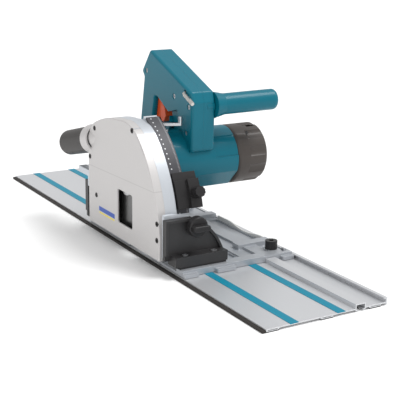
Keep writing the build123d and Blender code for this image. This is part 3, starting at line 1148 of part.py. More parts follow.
def handle_region(inset):
    """Sketch of the handle seen from the side, shrunk by inset."""
    with BuildSketch(Plane.XY) as region:
        with BuildLine():
            Polyline(*HANDLE_POINTS, close=True)
        make_face()
        keep = [v for v in region.vertices() if (Vector(v.X, v.Y) - Vector(MOTOR_X, MOTOR_Z)).length > MOTOR_R]
        fillet(keep, HANDLE_CORNER)
        with BuildSketch(mode=Mode.PRIVATE) as loop:
            with BuildLine():
                Polyline(*LOOP_POINTS, close=True)
            make_face()
            fillet(loop.vertices(), HANDLE_CORNER)
        add(loop.sketch, mode=Mode.SUBTRACT)
        with Locations((MOTOR_X, MOTOR_Z)):
            Circle(HANDLE_BORE_R, mode=Mode.SUBTRACT)
        if inset:
            offset(amount=-inset, mode=Mode.REPLACE)
    return region.sketch


def handle_prism(inset, y_low, y_high):
    """Handle region extruded between two y planes."""
    with BuildPart() as prism:
        with BuildSketch(Plane.XY):
            add(handle_region(inset))
        extrude(amount=y_high - y_low)
    return prism.part.moved(Location(at_y(y_high)))


def on_slope(start, end, wide, long):
    """Box normal to the rear slope of the handle between two heights above it."""
    origin = Vector(BUTTON_AT[0], HANDLE_MID_Y, BUTTON_AT[1])
    with BuildPart() as box:
        with BuildSketch(Plane(origin=origin + SLOPE_OUT * start, x_dir=(0, 1, 0), z_dir=SLOPE_OUT)):
            Rectangle(wide, long)
        extrude(amount=end - start)
    return box.part


def rubber_pad(grow, y_low, y_high):
    """Soft pad along the back of the grip."""
    low, high = GRIP_BACK
    lean = degrees(atan2(high[0] - low[0], high[1] - low[1]))
    with BuildPart() as pad:
        with BuildSketch(at_y(y_high)):
            with Locations(Location(((low[0] + high[0]) / 2, (low[1] + high[1]) / 2), -lean)):
                Rectangle(3 + grow, sqrt((high[0] - low[0]) ** 2 + (high[1] - low[1]) ** 2) + grow)
        extrude(amount=y_high - y_low)
    return pad.part


def make_handle_shell(y_low, y_high, face_y):
    """One half of the handle; face_y is its outer face."""
    inner = (y_low + HANDLE_WALL, y_high) if face_y == y_low else (y_low, y_high - HANDLE_WALL)
    with BuildPart() as shell:
        add(handle_prism(0, y_low, y_high))
        face = shell.faces().sort_by(Axis.Y)[0 if face_y == y_low else -1]
        rim = [e for e in face.edges() if not (e.geom_type == GeomType.CIRCLE and e.radius > MOTOR_R - 1)]
        fillet(rim, HANDLE_ROUND - 1)
        add(handle_prism(HANDLE_WALL, *inner), mode=Mode.SUBTRACT)
        for x, z in SHELL_SCREWS + LUG_SCREWS:
            add(ring_on(x, z, *inner, BOSS_R))
    return shell.part


def handle_cuts(y_low, y_high):
    """Everything both shells are cut with: trigger slot, button hole, pad seat, lugs and gland."""
    with BuildPart() as cuts:
        add(block((TRIGGER_X - 10, 16), (TRIGGER_Y[0] - 0.4, TRIGGER_Y[1] + 0.4), (164.5, TRIGGER_Z + 1.5)))
        add(on_slope(-6, 6, BUTTON_SIZE[0] + 0.5, BUTTON_SIZE[1] + 0.5))
        add(rubber_pad(0, HANDLE_LEFT_Y + 5, HANDLE_RIGHT_Y - 5))
        for angle, reach in LUGS:
            add(arc_band(MOTOR_R - 2, MOTOR_R + reach + 0.3, angle - LUG_HALF - 0.4, angle + LUG_HALF + 0.4,
                         LUG_Y[0] - 0.05, LUG_Y[1] + 0.05, MOTOR_X, MOTOR_Z))
        gland_plane = Plane(origin=Vector(GLAND_AT[0], HANDLE_MID_Y, GLAND_AT[1]) - GLAND_DIR * 8, z_dir=GLAND_DIR)
        with BuildSketch(gland_plane):
            Circle(5.5)
        extrude(amount=16)
    return cuts.part


recess_floor = HANDLE_LEFT_Y + RECESS_DEEP
left_body = make_handle_shell(HANDLE_LEFT_Y, HANDLE_MID_Y, HANDLE_LEFT_Y)
both_cuts = handle_cuts(HANDLE_LEFT_Y, HANDLE_RIGHT_Y)


def recess(y_low, y_high):
    """Block over the stepped area at the lower front of the left shell."""
    with BuildPart() as step:
        with BuildSketch(at_y(y_high)):
            with BuildLine():
                Polyline(*RECESS_POINTS, close=True)
            make_face()
        extrude(amount=y_high - y_low)
    return step.part


recess_wall = handle_prism(0, recess_floor, recess_floor + HANDLE_WALL) & recess(recess_floor, recess_floor + HANDLE_WALL)
with BuildPart() as handle_shell_left:
    add(left_body)
    add(recess(HANDLE_LEFT_Y - 1, recess_floor), mode=Mode.SUBTRACT)
    add(recess_wall)
    add(ring_on(*GRIP_SCREW, HANDLE_LEFT_Y + 1, SPIGOT_END_Y, BOSS_R))
    add(both_cuts, mode=Mode.SUBTRACT)
    for x, z in SHELL_SCREWS + LUG_SCREWS + (GRIP_SCREW,):
        add(ring_on(x, z, HANDLE_LEFT_Y - 1, HANDLE_LEFT_Y + 3.5, SCREW_HEAD + 0.2), mode=Mode.SUBTRACT)
        add(ring_on(x, z, HANDLE_LEFT_Y, 11, SCREW_R + 0.2), mode=Mode.SUBTRACT)
    add(ring_on(*WRENCH_LEG[0], HANDLE_LEFT_Y + 1, HANDLE_MID_Y, 5))
    add(ring_on(*WRENCH_LEG[0], HANDLE_LEFT_Y - 1, HANDLE_MID_Y, WRENCH_AF / 2 + 0.7), mode=Mode.SUBTRACT)
    add(ring_on(*WRENCH_LEG[0], HANDLE_LEFT_Y - 1, HANDLE_LEFT_Y + 2.5, WRENCH_AF / 2 + 1.6), mode=Mode.SUBTRACT)
    add(ring_on(TRIGGER_X, TRIGGER_Z, HANDLE_LEFT_Y + 1, TRIGGER_Y[0] - 0.4, 5))
    add(ring_on(TRIGGER_X, TRIGGER_Z, HANDLE_LEFT_Y + 3.5, TRIGGER_Y[0], 2.1), mode=Mode.SUBTRACT)
write(handle_shell_left, "handle_shell_left")

with BuildPart() as handle_shell_right:
    add(make_handle_shell(HANDLE_MID_Y, HANDLE_RIGHT_Y, HANDLE_RIGHT_Y))
    add(ring_on(*GRIP_SCREW, SPIGOT_END_Y + 2, HANDLE_RIGHT_Y - 1, SPIGOT_R + 3))
    add(both_cuts, mode=Mode.SUBTRACT)
    for x, z in SHELL_SCREWS + LUG_SCREWS:
        add(ring_on(x, z, HANDLE_MID_Y - 1, HANDLE_RIGHT_Y - 5, SCREW_R), mode=Mode.SUBTRACT)
    add(ring_on(*GRIP_SCREW, SPIGOT_END_Y - 0.1, HANDLE_RIGHT_Y + 1, SPIGOT_R + 0.03), mode=Mode.SUBTRACT)
    add(ring_on(*WRENCH_LEG[0], HANDLE_MID_Y, WRENCH_END_Y + 2, 5))
    add(ring_on(*WRENCH_LEG[0], HANDLE_MID_Y - 1, WRENCH_END_Y + 1, WRENCH_AF / 2 + 0.7), mode=Mode.SUBTRACT)
    add(ring_on(TRIGGER_X, TRIGGER_Z, TRIGGER_Y[1] + 0.4, HANDLE_RIGHT_Y - 1, 5))
    add(ring_on(TRIGGER_X, TRIGGER_Z, TRIGGER_Y[1], HANDLE_RIGHT_Y - 3.5, 2.1), mode=Mode.SUBTRACT)
write(handle_shell_right, "handle_shell_right")

with BuildPart() as handle_screws:
    for x, z in SHELL_SCREWS + LUG_SCREWS + (GRIP_SCREW,):
        add(ring_on(x, z, HANDLE_LEFT_Y + 1, HANDLE_LEFT_Y + 3.5, SCREW_HEAD))
        add(ring_on(x, z, HANDLE_LEFT_Y + 3.5, HANDLE_RIGHT_Y - 6, SCREW_R))
    for x, z in SHELL_SCREWS + LUG_SCREWS + (GRIP_SCREW,):
        add(ring_on(x, z, HANDLE_LEFT_Y, HANDLE_LEFT_Y + 2.6, 1.5), mode=Mode.SUBTRACT)
write(handle_screws, "handle_screws")

with BuildPart() as grip_rubber:
    add(rubber_pad(0, HANDLE_LEFT_Y + 5, HANDLE_RIGHT_Y - 5))
    fillet(grip_rubber.faces().sort_by(Axis.X)[0].edges(), 1.2)
write(grip_rubber, "grip_rubber")

# Front grip: a bar with a spigot that is screwed from the other shell.
grip_line = Vector(*GRIP_TIP) - Vector(*GRIP_ROOT)
GRIP_FLARE = 4.0
with BuildPart() as front_grip:
    with BuildSketch(Plane(origin=Vector(*GRIP_ROOT) - grip_line * 0.06, z_dir=grip_line.normalized())):
        Circle(GRIP_R)
    extrude(amount=grip_line.length * 1.06 - 1)
    fillet(front_grip.faces().sort_by(Axis.Y)[-1].edges(), 7)
    with BuildSketch(Plane(origin=GRIP_ROOT, z_dir=grip_line.normalized())):
        Circle(GRIP_R + GRIP_FLARE)
    extrude(amount=16, taper=degrees(atan2(GRIP_FLARE - 0.2, 16)))
    add(block((0, 200), (-20, HANDLE_RIGHT_Y + 0.05), (150, 250)), mode=Mode.SUBTRACT)
    add(ring_on(*GRIP_SCREW, SPIGOT_END_Y + 0.1, HANDLE_RIGHT_Y + 1, SPIGOT_R))
    add(ring_on(*GRIP_SCREW, SPIGOT_END_Y, HANDLE_RIGHT_Y - 5, SCREW_R), mode=Mode.SUBTRACT)
write(front_grip, "front_grip")

# ================================================================ switch, trigger, button, gland
SWITCH_X = (-46.0, -33.0)
with BuildPart() as switch_body:
    add(block(SWITCH_X, (-4, 16), (182, 216)))
    add(block((SWITCH_X[1] - 1, -29), (4, 8), (184, 189)))
    add(block((-44, -36), (-9.9, 21.9), (196, 206)))
write(switch_body, "switch_body")

with BuildPart() as trigger:
    with BuildSketch(at_y(TRIGGER_Y[1])):
        with BuildLine():
            Polyline((TRIGGER_X, TRIGGER_Z + 3), (-20, 203), (-13, 203), (5.5, 188.5), (8.5, 177), (2, 167.5),
                     (-3, 168), (-8, 174), (-19, 168), (-22, 170), (TRIGGER_X - 3, TRIGGER_Z), close=True)
        make_face()
    extrude(amount=TRIGGER_Y[1] - TRIGGER_Y[0])
    add(ring_on(TRIGGER_X, TRIGGER_Z, TRIGGER_Y[0] - 2.6, TRIGGER_Y[1] + 2.6, 2))
    add(ring_on(TRIGGER_X, TRIGGER_Z, *TRIGGER_Y, 3.6))
write(trigger, "trigger")

with BuildPart() as lock_off_button:
    add(on_slope(-3.4, 2.2, BUTTON_SIZE[0] - 0.2, BUTTON_SIZE[1] - 0.2))
    fillet(lock_off_button.faces().sort_by(Axis(origin=(0, 0, 0), direction=tuple(SLOPE_OUT)))[-1].edges(), 1)
    add(on_slope(-5.4, -3.4, BUTTON_SIZE[0] - 0.2, BUTTON_SIZE[1] - 0.2))
    add(on_slope(-9.0, -7.0, BUTTON_SIZE[0] + 2, BUTTON_SIZE[1] - 1))
    add(on_slope(-7.5, -5.0, BUTTON_SIZE[0] - 2, BUTTON_SIZE[1] - 3))
write(lock_off_button, "lock_off_button")

gland_root = Vector(GLAND_AT[0], HANDLE_MID_Y, GLAND_AT[1])
with BuildPart() as cord_inlet:
    with BuildSketch(Plane(origin=gland_root - GLAND_DIR * 7, z_dir=GLAND_DIR)):
        Circle(5.5)
    extrude(amount=9)
    with BuildSketch(Plane(origin=gland_root + GLAND_DIR * 1.6, z_dir=GLAND_DIR)):
        Circle(7.5)
    extrude(amount=14, taper=6)
    with BuildSketch(Plane(origin=gland_root - GLAND_DIR * 8, z_dir=GLAND_DIR)):
        Circle(3.6)
    extrude(amount=26, mode=Mode.SUBTRACT)
write(cord_inlet, "cord_inlet")

# ================================================================ spindle lock and wrench
LEVER_TIP = (76.0, -20.0)
LEVER_Z = (LEVER_HUB[2] + 0.3, LEVER_HUB[2] + 4)
with BuildPart() as shaft_lock_lever:
    with BuildSketch(Plane.XY.offset(LEVER_Z[0])):
        with Locations(LEVER_HUB[:2]):
            Circle(5)
        with Locations(LEVER_TIP):
            Circle(2.8)
        make_hull()
    extrude(amount=LEVER_Z[1] - LEVER_Z[0])
    with BuildSketch(Plane.XY.offset(LEVER_Z[1] - 1)):
        with Locations(LEVER_TIP):
            Circle(2.8)
    extrude(amount=10)
    with Locations((LEVER_HUB[0], LEVER_HUB[1], LEVER_HUB[2] - 5)):
        Cylinder(2.95, 12)
write(shaft_lock_lever, "shaft_lock_lever")

with BuildPart() as lever_spring:
    with BuildLine() as spring_coil:
        Helix(pitch=2.4, height=15, radius=3.2, center=(SPRING_SEAT[0], SPRING_SEAT[1], SPRING_SEAT[2] + 0.6))
    with BuildSketch(Plane(origin=spring_coil.line @ 0, z_dir=spring_coil.line % 0)):
        Circle(0.55)
    sweep(is_frenet=True)
write(lever_spring, "lever_spring")

with BuildPart() as hex_wrench:
    (leg_x, leg_z), (tip_x, tip_z) = WRENCH_LEG
    with BuildLine() as rod:
        FilletPolyline((leg_x, WRENCH_END_Y, leg_z), (leg_x, WRENCH_Y, leg_z), (tip_x, WRENCH_Y, tip_z), radius=5)
    with BuildSketch(Plane(origin=rod.line @ 0, z_dir=rod.line % 0)):
        RegularPolygon(WRENCH_AF / 2, 6, major_radius=False)
    sweep()
write(hex_wrench, "hex_wrench")
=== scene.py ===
import bpy
from math import cos, pi, radians, sin
from mathutils import Matrix, Vector


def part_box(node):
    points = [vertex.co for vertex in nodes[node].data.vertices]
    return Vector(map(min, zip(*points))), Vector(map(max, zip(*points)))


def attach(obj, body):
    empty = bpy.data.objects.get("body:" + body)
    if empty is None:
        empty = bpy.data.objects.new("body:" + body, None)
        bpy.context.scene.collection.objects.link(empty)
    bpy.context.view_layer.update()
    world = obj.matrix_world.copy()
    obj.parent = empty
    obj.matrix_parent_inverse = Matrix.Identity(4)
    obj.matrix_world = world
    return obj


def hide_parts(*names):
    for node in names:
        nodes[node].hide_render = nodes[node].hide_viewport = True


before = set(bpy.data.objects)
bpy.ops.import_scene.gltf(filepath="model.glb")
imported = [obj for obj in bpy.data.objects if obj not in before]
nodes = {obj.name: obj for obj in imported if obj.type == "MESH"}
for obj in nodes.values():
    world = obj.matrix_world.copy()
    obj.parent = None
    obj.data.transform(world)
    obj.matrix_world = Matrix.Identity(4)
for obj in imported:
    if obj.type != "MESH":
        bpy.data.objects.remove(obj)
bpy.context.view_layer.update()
mm = 0.001

# ---------------------------------------------------------------- guide rail
# Extruded aluminium, sawn to length and clear anodised, so fine die lines run along it.
# Every other finish of the saw is mixed by the same bench of socket maths as this one.


class Wire:
    """One output socket of a material; Python arithmetic on it adds Math nodes."""

    def __init__(self, bench, socket):
        self.bench = bench
        self.socket = socket

    def maths(self, operation, *others):
        return self.bench.add("ShaderNodeMath", {"operation": operation}, self, *others)

    def __add__(self, other):
        return self.maths("ADD", other)

    def __sub__(self, other):
        return self.maths("SUBTRACT", other)

    def __rsub__(self, other):
        return self.bench.add("ShaderNodeMath", {"operation": "SUBTRACT"}, other, self)

    def __mul__(self, other):
        return self.maths("MULTIPLY", other)

    def above(self, edge, soft):
        """0 below the edge and 1 above it, with a soft step."""
        settings = {"interpolation_type": "SMOOTHSTEP"}
        limits = (edge - soft, edge + soft, 0.0, 1.0)
        return self.bench.add("ShaderNodeMapRange", settings, self, *limits)

    __radd__ = __add__
    __rmul__ = __mul__


class Bench:
    """A material under construction, with its Principled shader and object coordinates."""

    def __init__(self, name):
        self.material = bpy.data.materials.new(name)
        self.material.use_nodes = True
        self.tree = self.material.node_tree
        self.shader = self.tree.nodes["Principled BSDF"]
        self.place = self.add("ShaderNodeTexCoord", {}, out="Object")

    def add(self, kind, settings, *inputs, out=0, **named):
        """Adds a node, sets it, then feeds its sockets in order or by name."""
        node = self.tree.nodes.new(kind)
        for key, value in settings.items():
            setattr(node, key, value)
        for key, value in list(enumerate(inputs)) + list(named.items()):
            socket = node.inputs[key.replace("_", " ") if isinstance(key, str) else key]
            if isinstance(value, Wire):
                self.tree.links.new(value.socket, socket)
            elif value is not None:
                socket.default_value = value
        return Wire(self, node.outputs[out])

    def scaled(self, x, y, z):
        """Object coordinates stretched along the three axes."""
        return self.add("ShaderNodeMapping", {}, self.place, Scale=(x, y, z))

    def axes(self):
        """Object coordinates in millimetres as three wires."""
        split = self.tree.nodes.new("ShaderNodeSeparateXYZ")
        self.tree.links.new(self.place.socket, split.inputs[0])
        return [Wire(self, output) * 1000.0 for output in split.outputs]

    def noise(self, scale, detail=3.0, place=None, rough=0.5):
        return self.add("ShaderNodeTexNoise", {}, Vector=place or self.place, Scale=scale,
                        Detail=detail, Roughness=rough)

    def blend(self, share, first, second):
        """Mixes two colours by a share."""
        mix = self.tree.nodes.new("ShaderNodeMix")
        mix.data_type = "RGBA"
        for key, value in ((0, share), (6, first), (7, second)):
            if isinstance(value, Wire):
                self.tree.links.new(value.socket, mix.inputs[key])
            elif key:
                mix.inputs[key].default_value = (*value, 1.0) if len(value) == 3 else value
            else:
                mix.inputs[key].default_value = value
        return Wire(self, mix.outputs[2])

    def feed(self, **values):
        """Feeds the Principled shader's sockets."""
        for key, value in values.items():
            socket = self.shader.inputs[key.replace("_", " ")]
            if isinstance(value, Wire):
                self.tree.links.new(value.socket, socket)
            else:
                socket.default_value = (*value, 1.0) if isinstance(value, tuple) else value

    def relief(self, height, depth, round_edges=0.0004):
        """Bump of a height in metres over slightly rounded edges."""
        rounded = self.add("ShaderNodeBevel", {"samples": 3}, round_edges)
        bump = self.add("ShaderNodeBump", {}, Strength=1.0, Distance=depth, Height=height,
                        Normal=rounded)
        self.feed(Normal=bump)


def wear(bench, node_names):
    """Gives CAD nodes the finished material."""
    for name in node_names:
        piece = nodes[name]
        piece.data.materials.clear()
        piece.data.materials.append(bench.material)


def anodised(name, colour, along):
    """Bright metal with die lines along one axis; along is the stretch of the noise."""
    bench = Bench(name)
    lines = bench.noise(1.0, 2.0, bench.scaled(*along))
    cloud = bench.noise(9.0, 2.0)
    tint = bench.blend(cloud * 0.5 + lines * 0.3, tuple(c * 0.90 for c in colour), colour)
    bench.feed(Base_Color=tint, Metallic=0.55, Roughness=lines * 0.12 + 0.32)
    bench.relief(lines, 0.00004, 0.0003)
    return bench


rail_silver = (0.66, 0.67, 0.69)
wear(anodised("rail_anodised", rail_silver, (4, 1600, 1600)), ["guide_rail"])

# ---------------------------------------------------------------- rail strips
# The splinter guard is bonded rubber, the glides are slick teal tape laid in grooves, and
# the foam strips below keep the rail where it is put.


def moulded(name, colour, rough, grain, depth, patch=0.12, coat=0.0, round_edges=0.0005):
    """Moulded plastic or rubber: fine spark-eroded grain and a little uneven tone."""
    bench = Bench(name)
    skin = bench.noise(grain, 2.0)
    cloud = bench.noise(14.0, 2.0)
    dark = tuple(c * (1.0 - patch) for c in colour)
    bench.feed(Base_Color=bench.blend(cloud, dark, colour), Roughness=skin * 0.14 + (rough - 0.07),
               Coat_Weight=coat, Specular_IOR_Level=0.22)
    bench.relief(skin, depth, round_edges)
    return bench


glide_teal = (0.0, 0.22, 0.33)
guard_black = (0.035, 0.031, 0.029)
glide = moulded("glide_tape", glide_teal, 0.45, 900.0, 0.00001, 0.10, 0.0, 0.0002)
wear(glide, ["glide_strips"])
wear(moulded("guard_rubber", guard_black, 0.62, 700.0, 0.00005), ["splinter_guard"])
wear(moulded("rail_foam", (0.03, 0.03, 0.03), 0.9, 1300.0, 0.0003), ["grip_strips"])

# ---------------------------------------------------------------- base plate
# Die-cast aluminium, shot blasted and left bare, with machined edges where it meets the
# rail; the white strip is a screwed-on plastic trim at the blade side.


def cast(name, colour, rough, metallic, grain=650.0, depth=0.00012, patch=0.16):
    """Sand or die cast surface: pitted skin, soft edges and a slightly patchy tone."""
    bench = Bench(name)
    skin = bench.noise(grain, 4.0, None, 0.65)
    cloud = bench.noise(22.0, 3.0)
    dark = tuple(c * (1.0 - patch) for c in colour)
    bench.feed(Base_Color=bench.blend(cloud, dark, colour), Metallic=metallic,
               Roughness=skin * 0.22 + (rough - 0.11))
    bench.relief(skin, depth, 0.0007)
    return bench


base_grey = (0.47, 0.49, 0.52)
wear(cast("base_casting", base_grey, 0.42, 0.45), ["base_plate"])
wear(moulded("trim_white", (0.80, 0.80, 0.78), 0.4, 800.0, 0.00002), ["edge_strip"])

# ---------------------------------------------------------------- bevel brackets
# Cast sector brackets, painted black, screwed to the base; ribbed knobs on steel studs
# clamp the head at its angle.
bracket_black = (0.026, 0.025, 0.026)
bracket_paint = cast("bracket_paint", bracket_black, 0.46, 0.0, 900.0, 0.00006)
wear(bracket_paint, ["front_bevel_bracket", "rear_bevel_bracket"])
wear(moulded("knob_black", (0.022, 0.021, 0.022), 0.42, 1100.0, 0.00004, 0.1, 0.1, 0.0008),
     ["front_bevel_knob", "rear_bevel_knob", "guide_adjuster_front", "guide_adjuster_rear",
      "depth_stop", "depth_stop_knob", "brush_caps", "switch_body"])


def steel(name, colour, rough, along=(300, 300, 300), depth=0.00002):
    """Turned, ground or plated steel."""
    bench = Bench(name)
    marks = bench.noise(1.0, 2.0, bench.scaled(*along))
    cloud = bench.noise(40.0, 2.0)
    dark = tuple(c * 0.86 for c in colour)
    bench.feed(Base_Color=bench.blend(cloud, dark, colour), Metallic=0.95,
               Roughness=marks * 0.16 + (rough - 0.08))
    bench.relief(marks, depth, 0.0002)
    return bench


zinc = steel("zinc_plate", (0.60, 0.61, 0.63), 0.34, (500, 500, 500))
wear(zinc, ["bracket_screws", "bevel_studs", "anti_tip_slider", "trunnion_screws",
            "housing_screws", "handle_screws", "shaft_lock_lever"])

# ---------------------------------------------------------------- blade case and cover
# The case is a die casting with a bright machined rim; the cover is a casting painted in
# satin silver, held by six screws, with a window over the blade.
cover_silver = (0.56, 0.545, 0.54)
case_bright = (0.56, 0.59, 0.63)
wear(cast("case_casting", case_bright, 0.36, 0.35, 500.0, 0.00008, 0.10),
     ["blade_case", "front_trunnion", "rear_trunnion"])


def painted_cover():
    """Satin silver paint with painted shade along a moulding crease across the face and a plain
    two-colour label.
    """
    bench = Bench("cover_paint")
    x, y, z = bench.axes()
    skin = bench.noise(1500.0, 2.0)
    cloud = bench.noise(7.0, 2.0)
    crease_rise = 4.0 / 157.0
    crease_height = 105.2
    line = z - x * crease_rise - crease_height
    crease_shade = 1.0 - (line * line).above(0.35, 0.35)
    tint = bench.blend(cloud, tuple(c * 0.95 for c in cover_silver), cover_silver)
    # Painted shade: a thin line along the moulding crease is darkened towards 55 % of the silver.
    tint = bench.blend(crease_shade * 0.35, tint, tuple(c * 0.55 for c in cover_silver))
    label_x, bar_z, rule_z, face_y = 14.0, 45.5, 39.6, -104.7
    width = (x - label_x).maths("ABSOLUTE")
    bar = width.above(26.0, 0.3).maths("MAXIMUM", (z - bar_z).maths("ABSOLUTE").above(3.4, 0.3))
    rule = width.above(25.0, 0.3).maths("MAXIMUM", (z - rule_z).maths("ABSOLUTE").above(1.1, 0.25))
    outside = (y - face_y).above(0.2, 0.1)
    tint = bench.blend(1.0 - bar.maths("MAXIMUM", outside), tint, (0.03, 0.09, 0.42))
    tint = bench.blend(1.0 - rule.maths("MAXIMUM", outside), tint, (0.80, 0.66, 0.04))
    bench.feed(Base_Color=tint, Metallic=0.25, Roughness=skin * 0.10 + 0.36)
    bench.relief(skin, 0.00002, 0.0008)
    return bench


wear(painted_cover(), ["case_cover"])
wear(steel("black_screw", (0.035, 0.033, 0.033), 0.42), ["cover_screws"])

# ---------------------------------------------------------------- depth scale
# Black anodised aluminium strip with engraved white dots and marks round the pivot.
pivot_low, pivot_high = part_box("pivot_shaft")
pivot_x = (pivot_low.x + pivot_high.x) / 2 / mm
pivot_z = (pivot_low.z + pivot_high.z) / 2 / mm


def engraved_scale():
    """Rows of white dots at even angles about the pivot."""
    bench = Bench("scale_black")
    x, y, z = bench.axes()
    turn = bench.add("ShaderNodeMath", {"operation": "ARCTAN2"}, z - pivot_z, x - pivot_x)
    dot_pitch_degrees = 2.4
    dot_row_y, tick_row_y = -70.0, -58.5
    along = turn * (180.0 / pi / dot_pitch_degrees)
    cell = bench.add("ShaderNodeMath", {"operation": "FRACT"}, along)
    off_along = (cell - 0.5) * 6.6
    off_across = y - dot_row_y
    dot = 1.0 - (off_along * off_along + off_across * off_across).above(0.75, 0.35)
    edge_row = y - tick_row_y
    fine = bench.add("ShaderNodeMath", {"operation": "FRACT"}, along * 4.0)
    tick = ((fine - 0.5) * (fine - 0.5)).above(0.02, 0.006)
    ticks = (1.0 - tick) * (1.0 - (edge_row * edge_row).above(1.2, 0.2))
    skin = bench.noise(900.0, 3.0)
    tint = bench.blend(dot * 0.85 + ticks * 0.35, (0.035, 0.035, 0.042), (0.75, 0.76, 0.78))
    bench.feed(Base_Color=tint, Roughness=skin * 0.2 + 0.35, Metallic=0.2)
    bench.relief(skin, 0.00003, 0.0004)
    return bench


wear(engraved_scale(), ["depth_scale"])

# ---------------------------------------------------------------- dust nozzle
# Glass-filled nylon stub, darker and smoother than the castings.
wear(moulded("hose_stub", (0.03, 0.026, 0.024), 0.5, 700.0, 0.00002, 0.15, 0.15, 0.0008), ["dust_nozzle"])

# ---------------------------------------------------------------- gear housing
# Two raw die castings bolted together, the spindle lock above them.
gear_grey = (0.26, 0.275, 0.29)
wear(cast("gear_casting", gear_grey, 0.45, 0.4, 500.0, 0.0002), ["gear_housing", "bearing_bracket"])
ground = steel("ground_steel", (0.50, 0.50, 0.51), 0.28, (900, 900, 900))
wear(ground, ["pivot_shaft", "return_spring", "spindle", "inner_flange", "outer_flange", "blade_bolt",
              "drive_gear", "armature_shaft", "lever_spring", "spindle_bearings", "armature_bearings"])
wear(steel("bush_bronze", (0.55, 0.33, 0.14), 0.4), ["pivot_bushes"])
wear(steel("wrench_nickel", (0.62, 0.60, 0.57), 0.25), ["hex_wrench"])

# ---------------------------------------------------------------- saw blade
# Laser-cut steel plate, tinted dark as painted shade for the dark case interior that it reflects, ground
# so that fine rings run round the bore, and with carbide tips brazed on at the rim.
arbor_low, arbor_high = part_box("saw_blade")
arbor_x = (arbor_low.x + arbor_high.x) / 2 / mm
arbor_z = (arbor_low.z + arbor_high.z) / 2 / mm


def blade_plate():
    """Ground plate with rings about the arbor and darker carbide at the rim."""
    bench = Bench("blade_steel")
    x, _, z = bench.axes()
    reach = bench.add("ShaderNodeMath", {"operation": "SQRT"},
                      (x - arbor_x) * (x - arbor_x) + (z - arbor_z) * (z - arbor_z))
    rings = bench.noise(1.0, 2.0, bench.add("ShaderNodeCombineXYZ", {}, reach * 4.0))
    tips = reach.above(76.5, 0.4)
    # Painted shade: the plate's dark tint stands in for the shade and dark reflections inside the blade
    # case.
    tint = bench.blend(tips, (0.15, 0.15, 0.15), (0.09, 0.09, 0.09))
    bench.feed(Base_Color=tint, Metallic=0.95, Roughness=rings * 0.2 + 0.2)
    bench.relief(rings, 0.00002, 0.0001)
    return bench


wear(blade_plate(), ["saw_blade"])

# ---------------------------------------------------------------- motor
# Wound armature and stator inside a moulded housing, carbon brushes in brass tubes.


def windings():
    """Steel laminations with copper-coloured enamelled wire beyond them."""
    bench = Bench("windings")
    _, y, _ = bench.axes()
    wire = bench.noise(1.0, 2.0, bench.scaled(900, 900, 900))
    stack = 1.0 - (y - 24.0).maths("ABSOLUTE").above(31.8, 0.2)
    tint = bench.blend(stack, (0.42, 0.16, 0.05), (0.35, 0.34, 0.33))
    bench.feed(Base_Color=tint, Metallic=0.8, Roughness=wire * 0.3 + 0.3)
    bench.relief(wire, 0.0002, 0.0003)
    return bench


wear(windings(), ["armature_core", "stator"])
wear(steel("brush_brass", (0.70, 0.50, 0.20), 0.35), ["brush_holders"])
wear(moulded("carbon", (0.03, 0.03, 0.03), 0.7, 800.0, 0.00005), ["carbon_brushes"])
wear(moulded("fan_grey", (0.18, 0.18, 0.19), 0.5, 600.0, 0.00004), ["cooling_fan"])

teal = (0.0, 0.145, 0.205)
teal_shell = moulded("teal_nylon", teal, 0.40, 1400.0, 0.00005, 0.10, 0.12, 0.0010)
wear(teal_shell, ["motor_housing", "handle_shell_left", "handle_shell_right", "front_grip"])
cap_nylon = moulded("end_cap_nylon", (0.075, 0.064, 0.058), 0.44, 1000.0, 0.00005, 0.12, 0.1, 0.0010)
wear(cap_nylon, ["motor_end_cap"])

# ---------------------------------------------------------------- motor end cap
# Dark nylon cup over the commutator end, moulded with a rounded rim. Shallow flutes run
# along the outer half of its wall, and a square opening at the top reaches the brush gear.


def clear_selection():
    """Leaves object mode with nothing selected."""
    if bpy.context.object and bpy.context.object.mode != "OBJECT":
        bpy.ops.object.mode_set(mode="OBJECT")
    bpy.ops.object.select_all(action="DESELECT")


def bake_in_place(piece):
    """Applies the transform so that the piece sits unrotated at the origin."""
    clear_selection()
    piece.select_set(True)
    bpy.context.view_layer.objects.active = piece
    bpy.ops.object.transform_apply(location=True, rotation=True, scale=True)


def rod_along_y(x, z, radius, start, end, corners=64):
    """Solid cylinder along the motor's direction."""
    clear_selection()
    bpy.ops.mesh.primitive_cylinder_add(vertices=corners, radius=radius, depth=end - start,
                                        location=(x, (start + end) / 2, z), rotation=(pi / 2, 0, 0))
    piece = bpy.context.object
    bake_in_place(piece)
    return piece


def carve(piece, cutter, operation="DIFFERENCE"):
    """Cuts with another piece, which is then thrown away."""
    clear_selection()
    bpy.context.view_layer.objects.active = piece
    cut = piece.modifiers.new("cut", "BOOLEAN")
    cut.operation = operation
    cut.object = cutter
    cut.solver = "EXACT"
    bpy.ops.object.modifier_apply(modifier=cut.name)
    bpy.data.objects.remove(cutter)


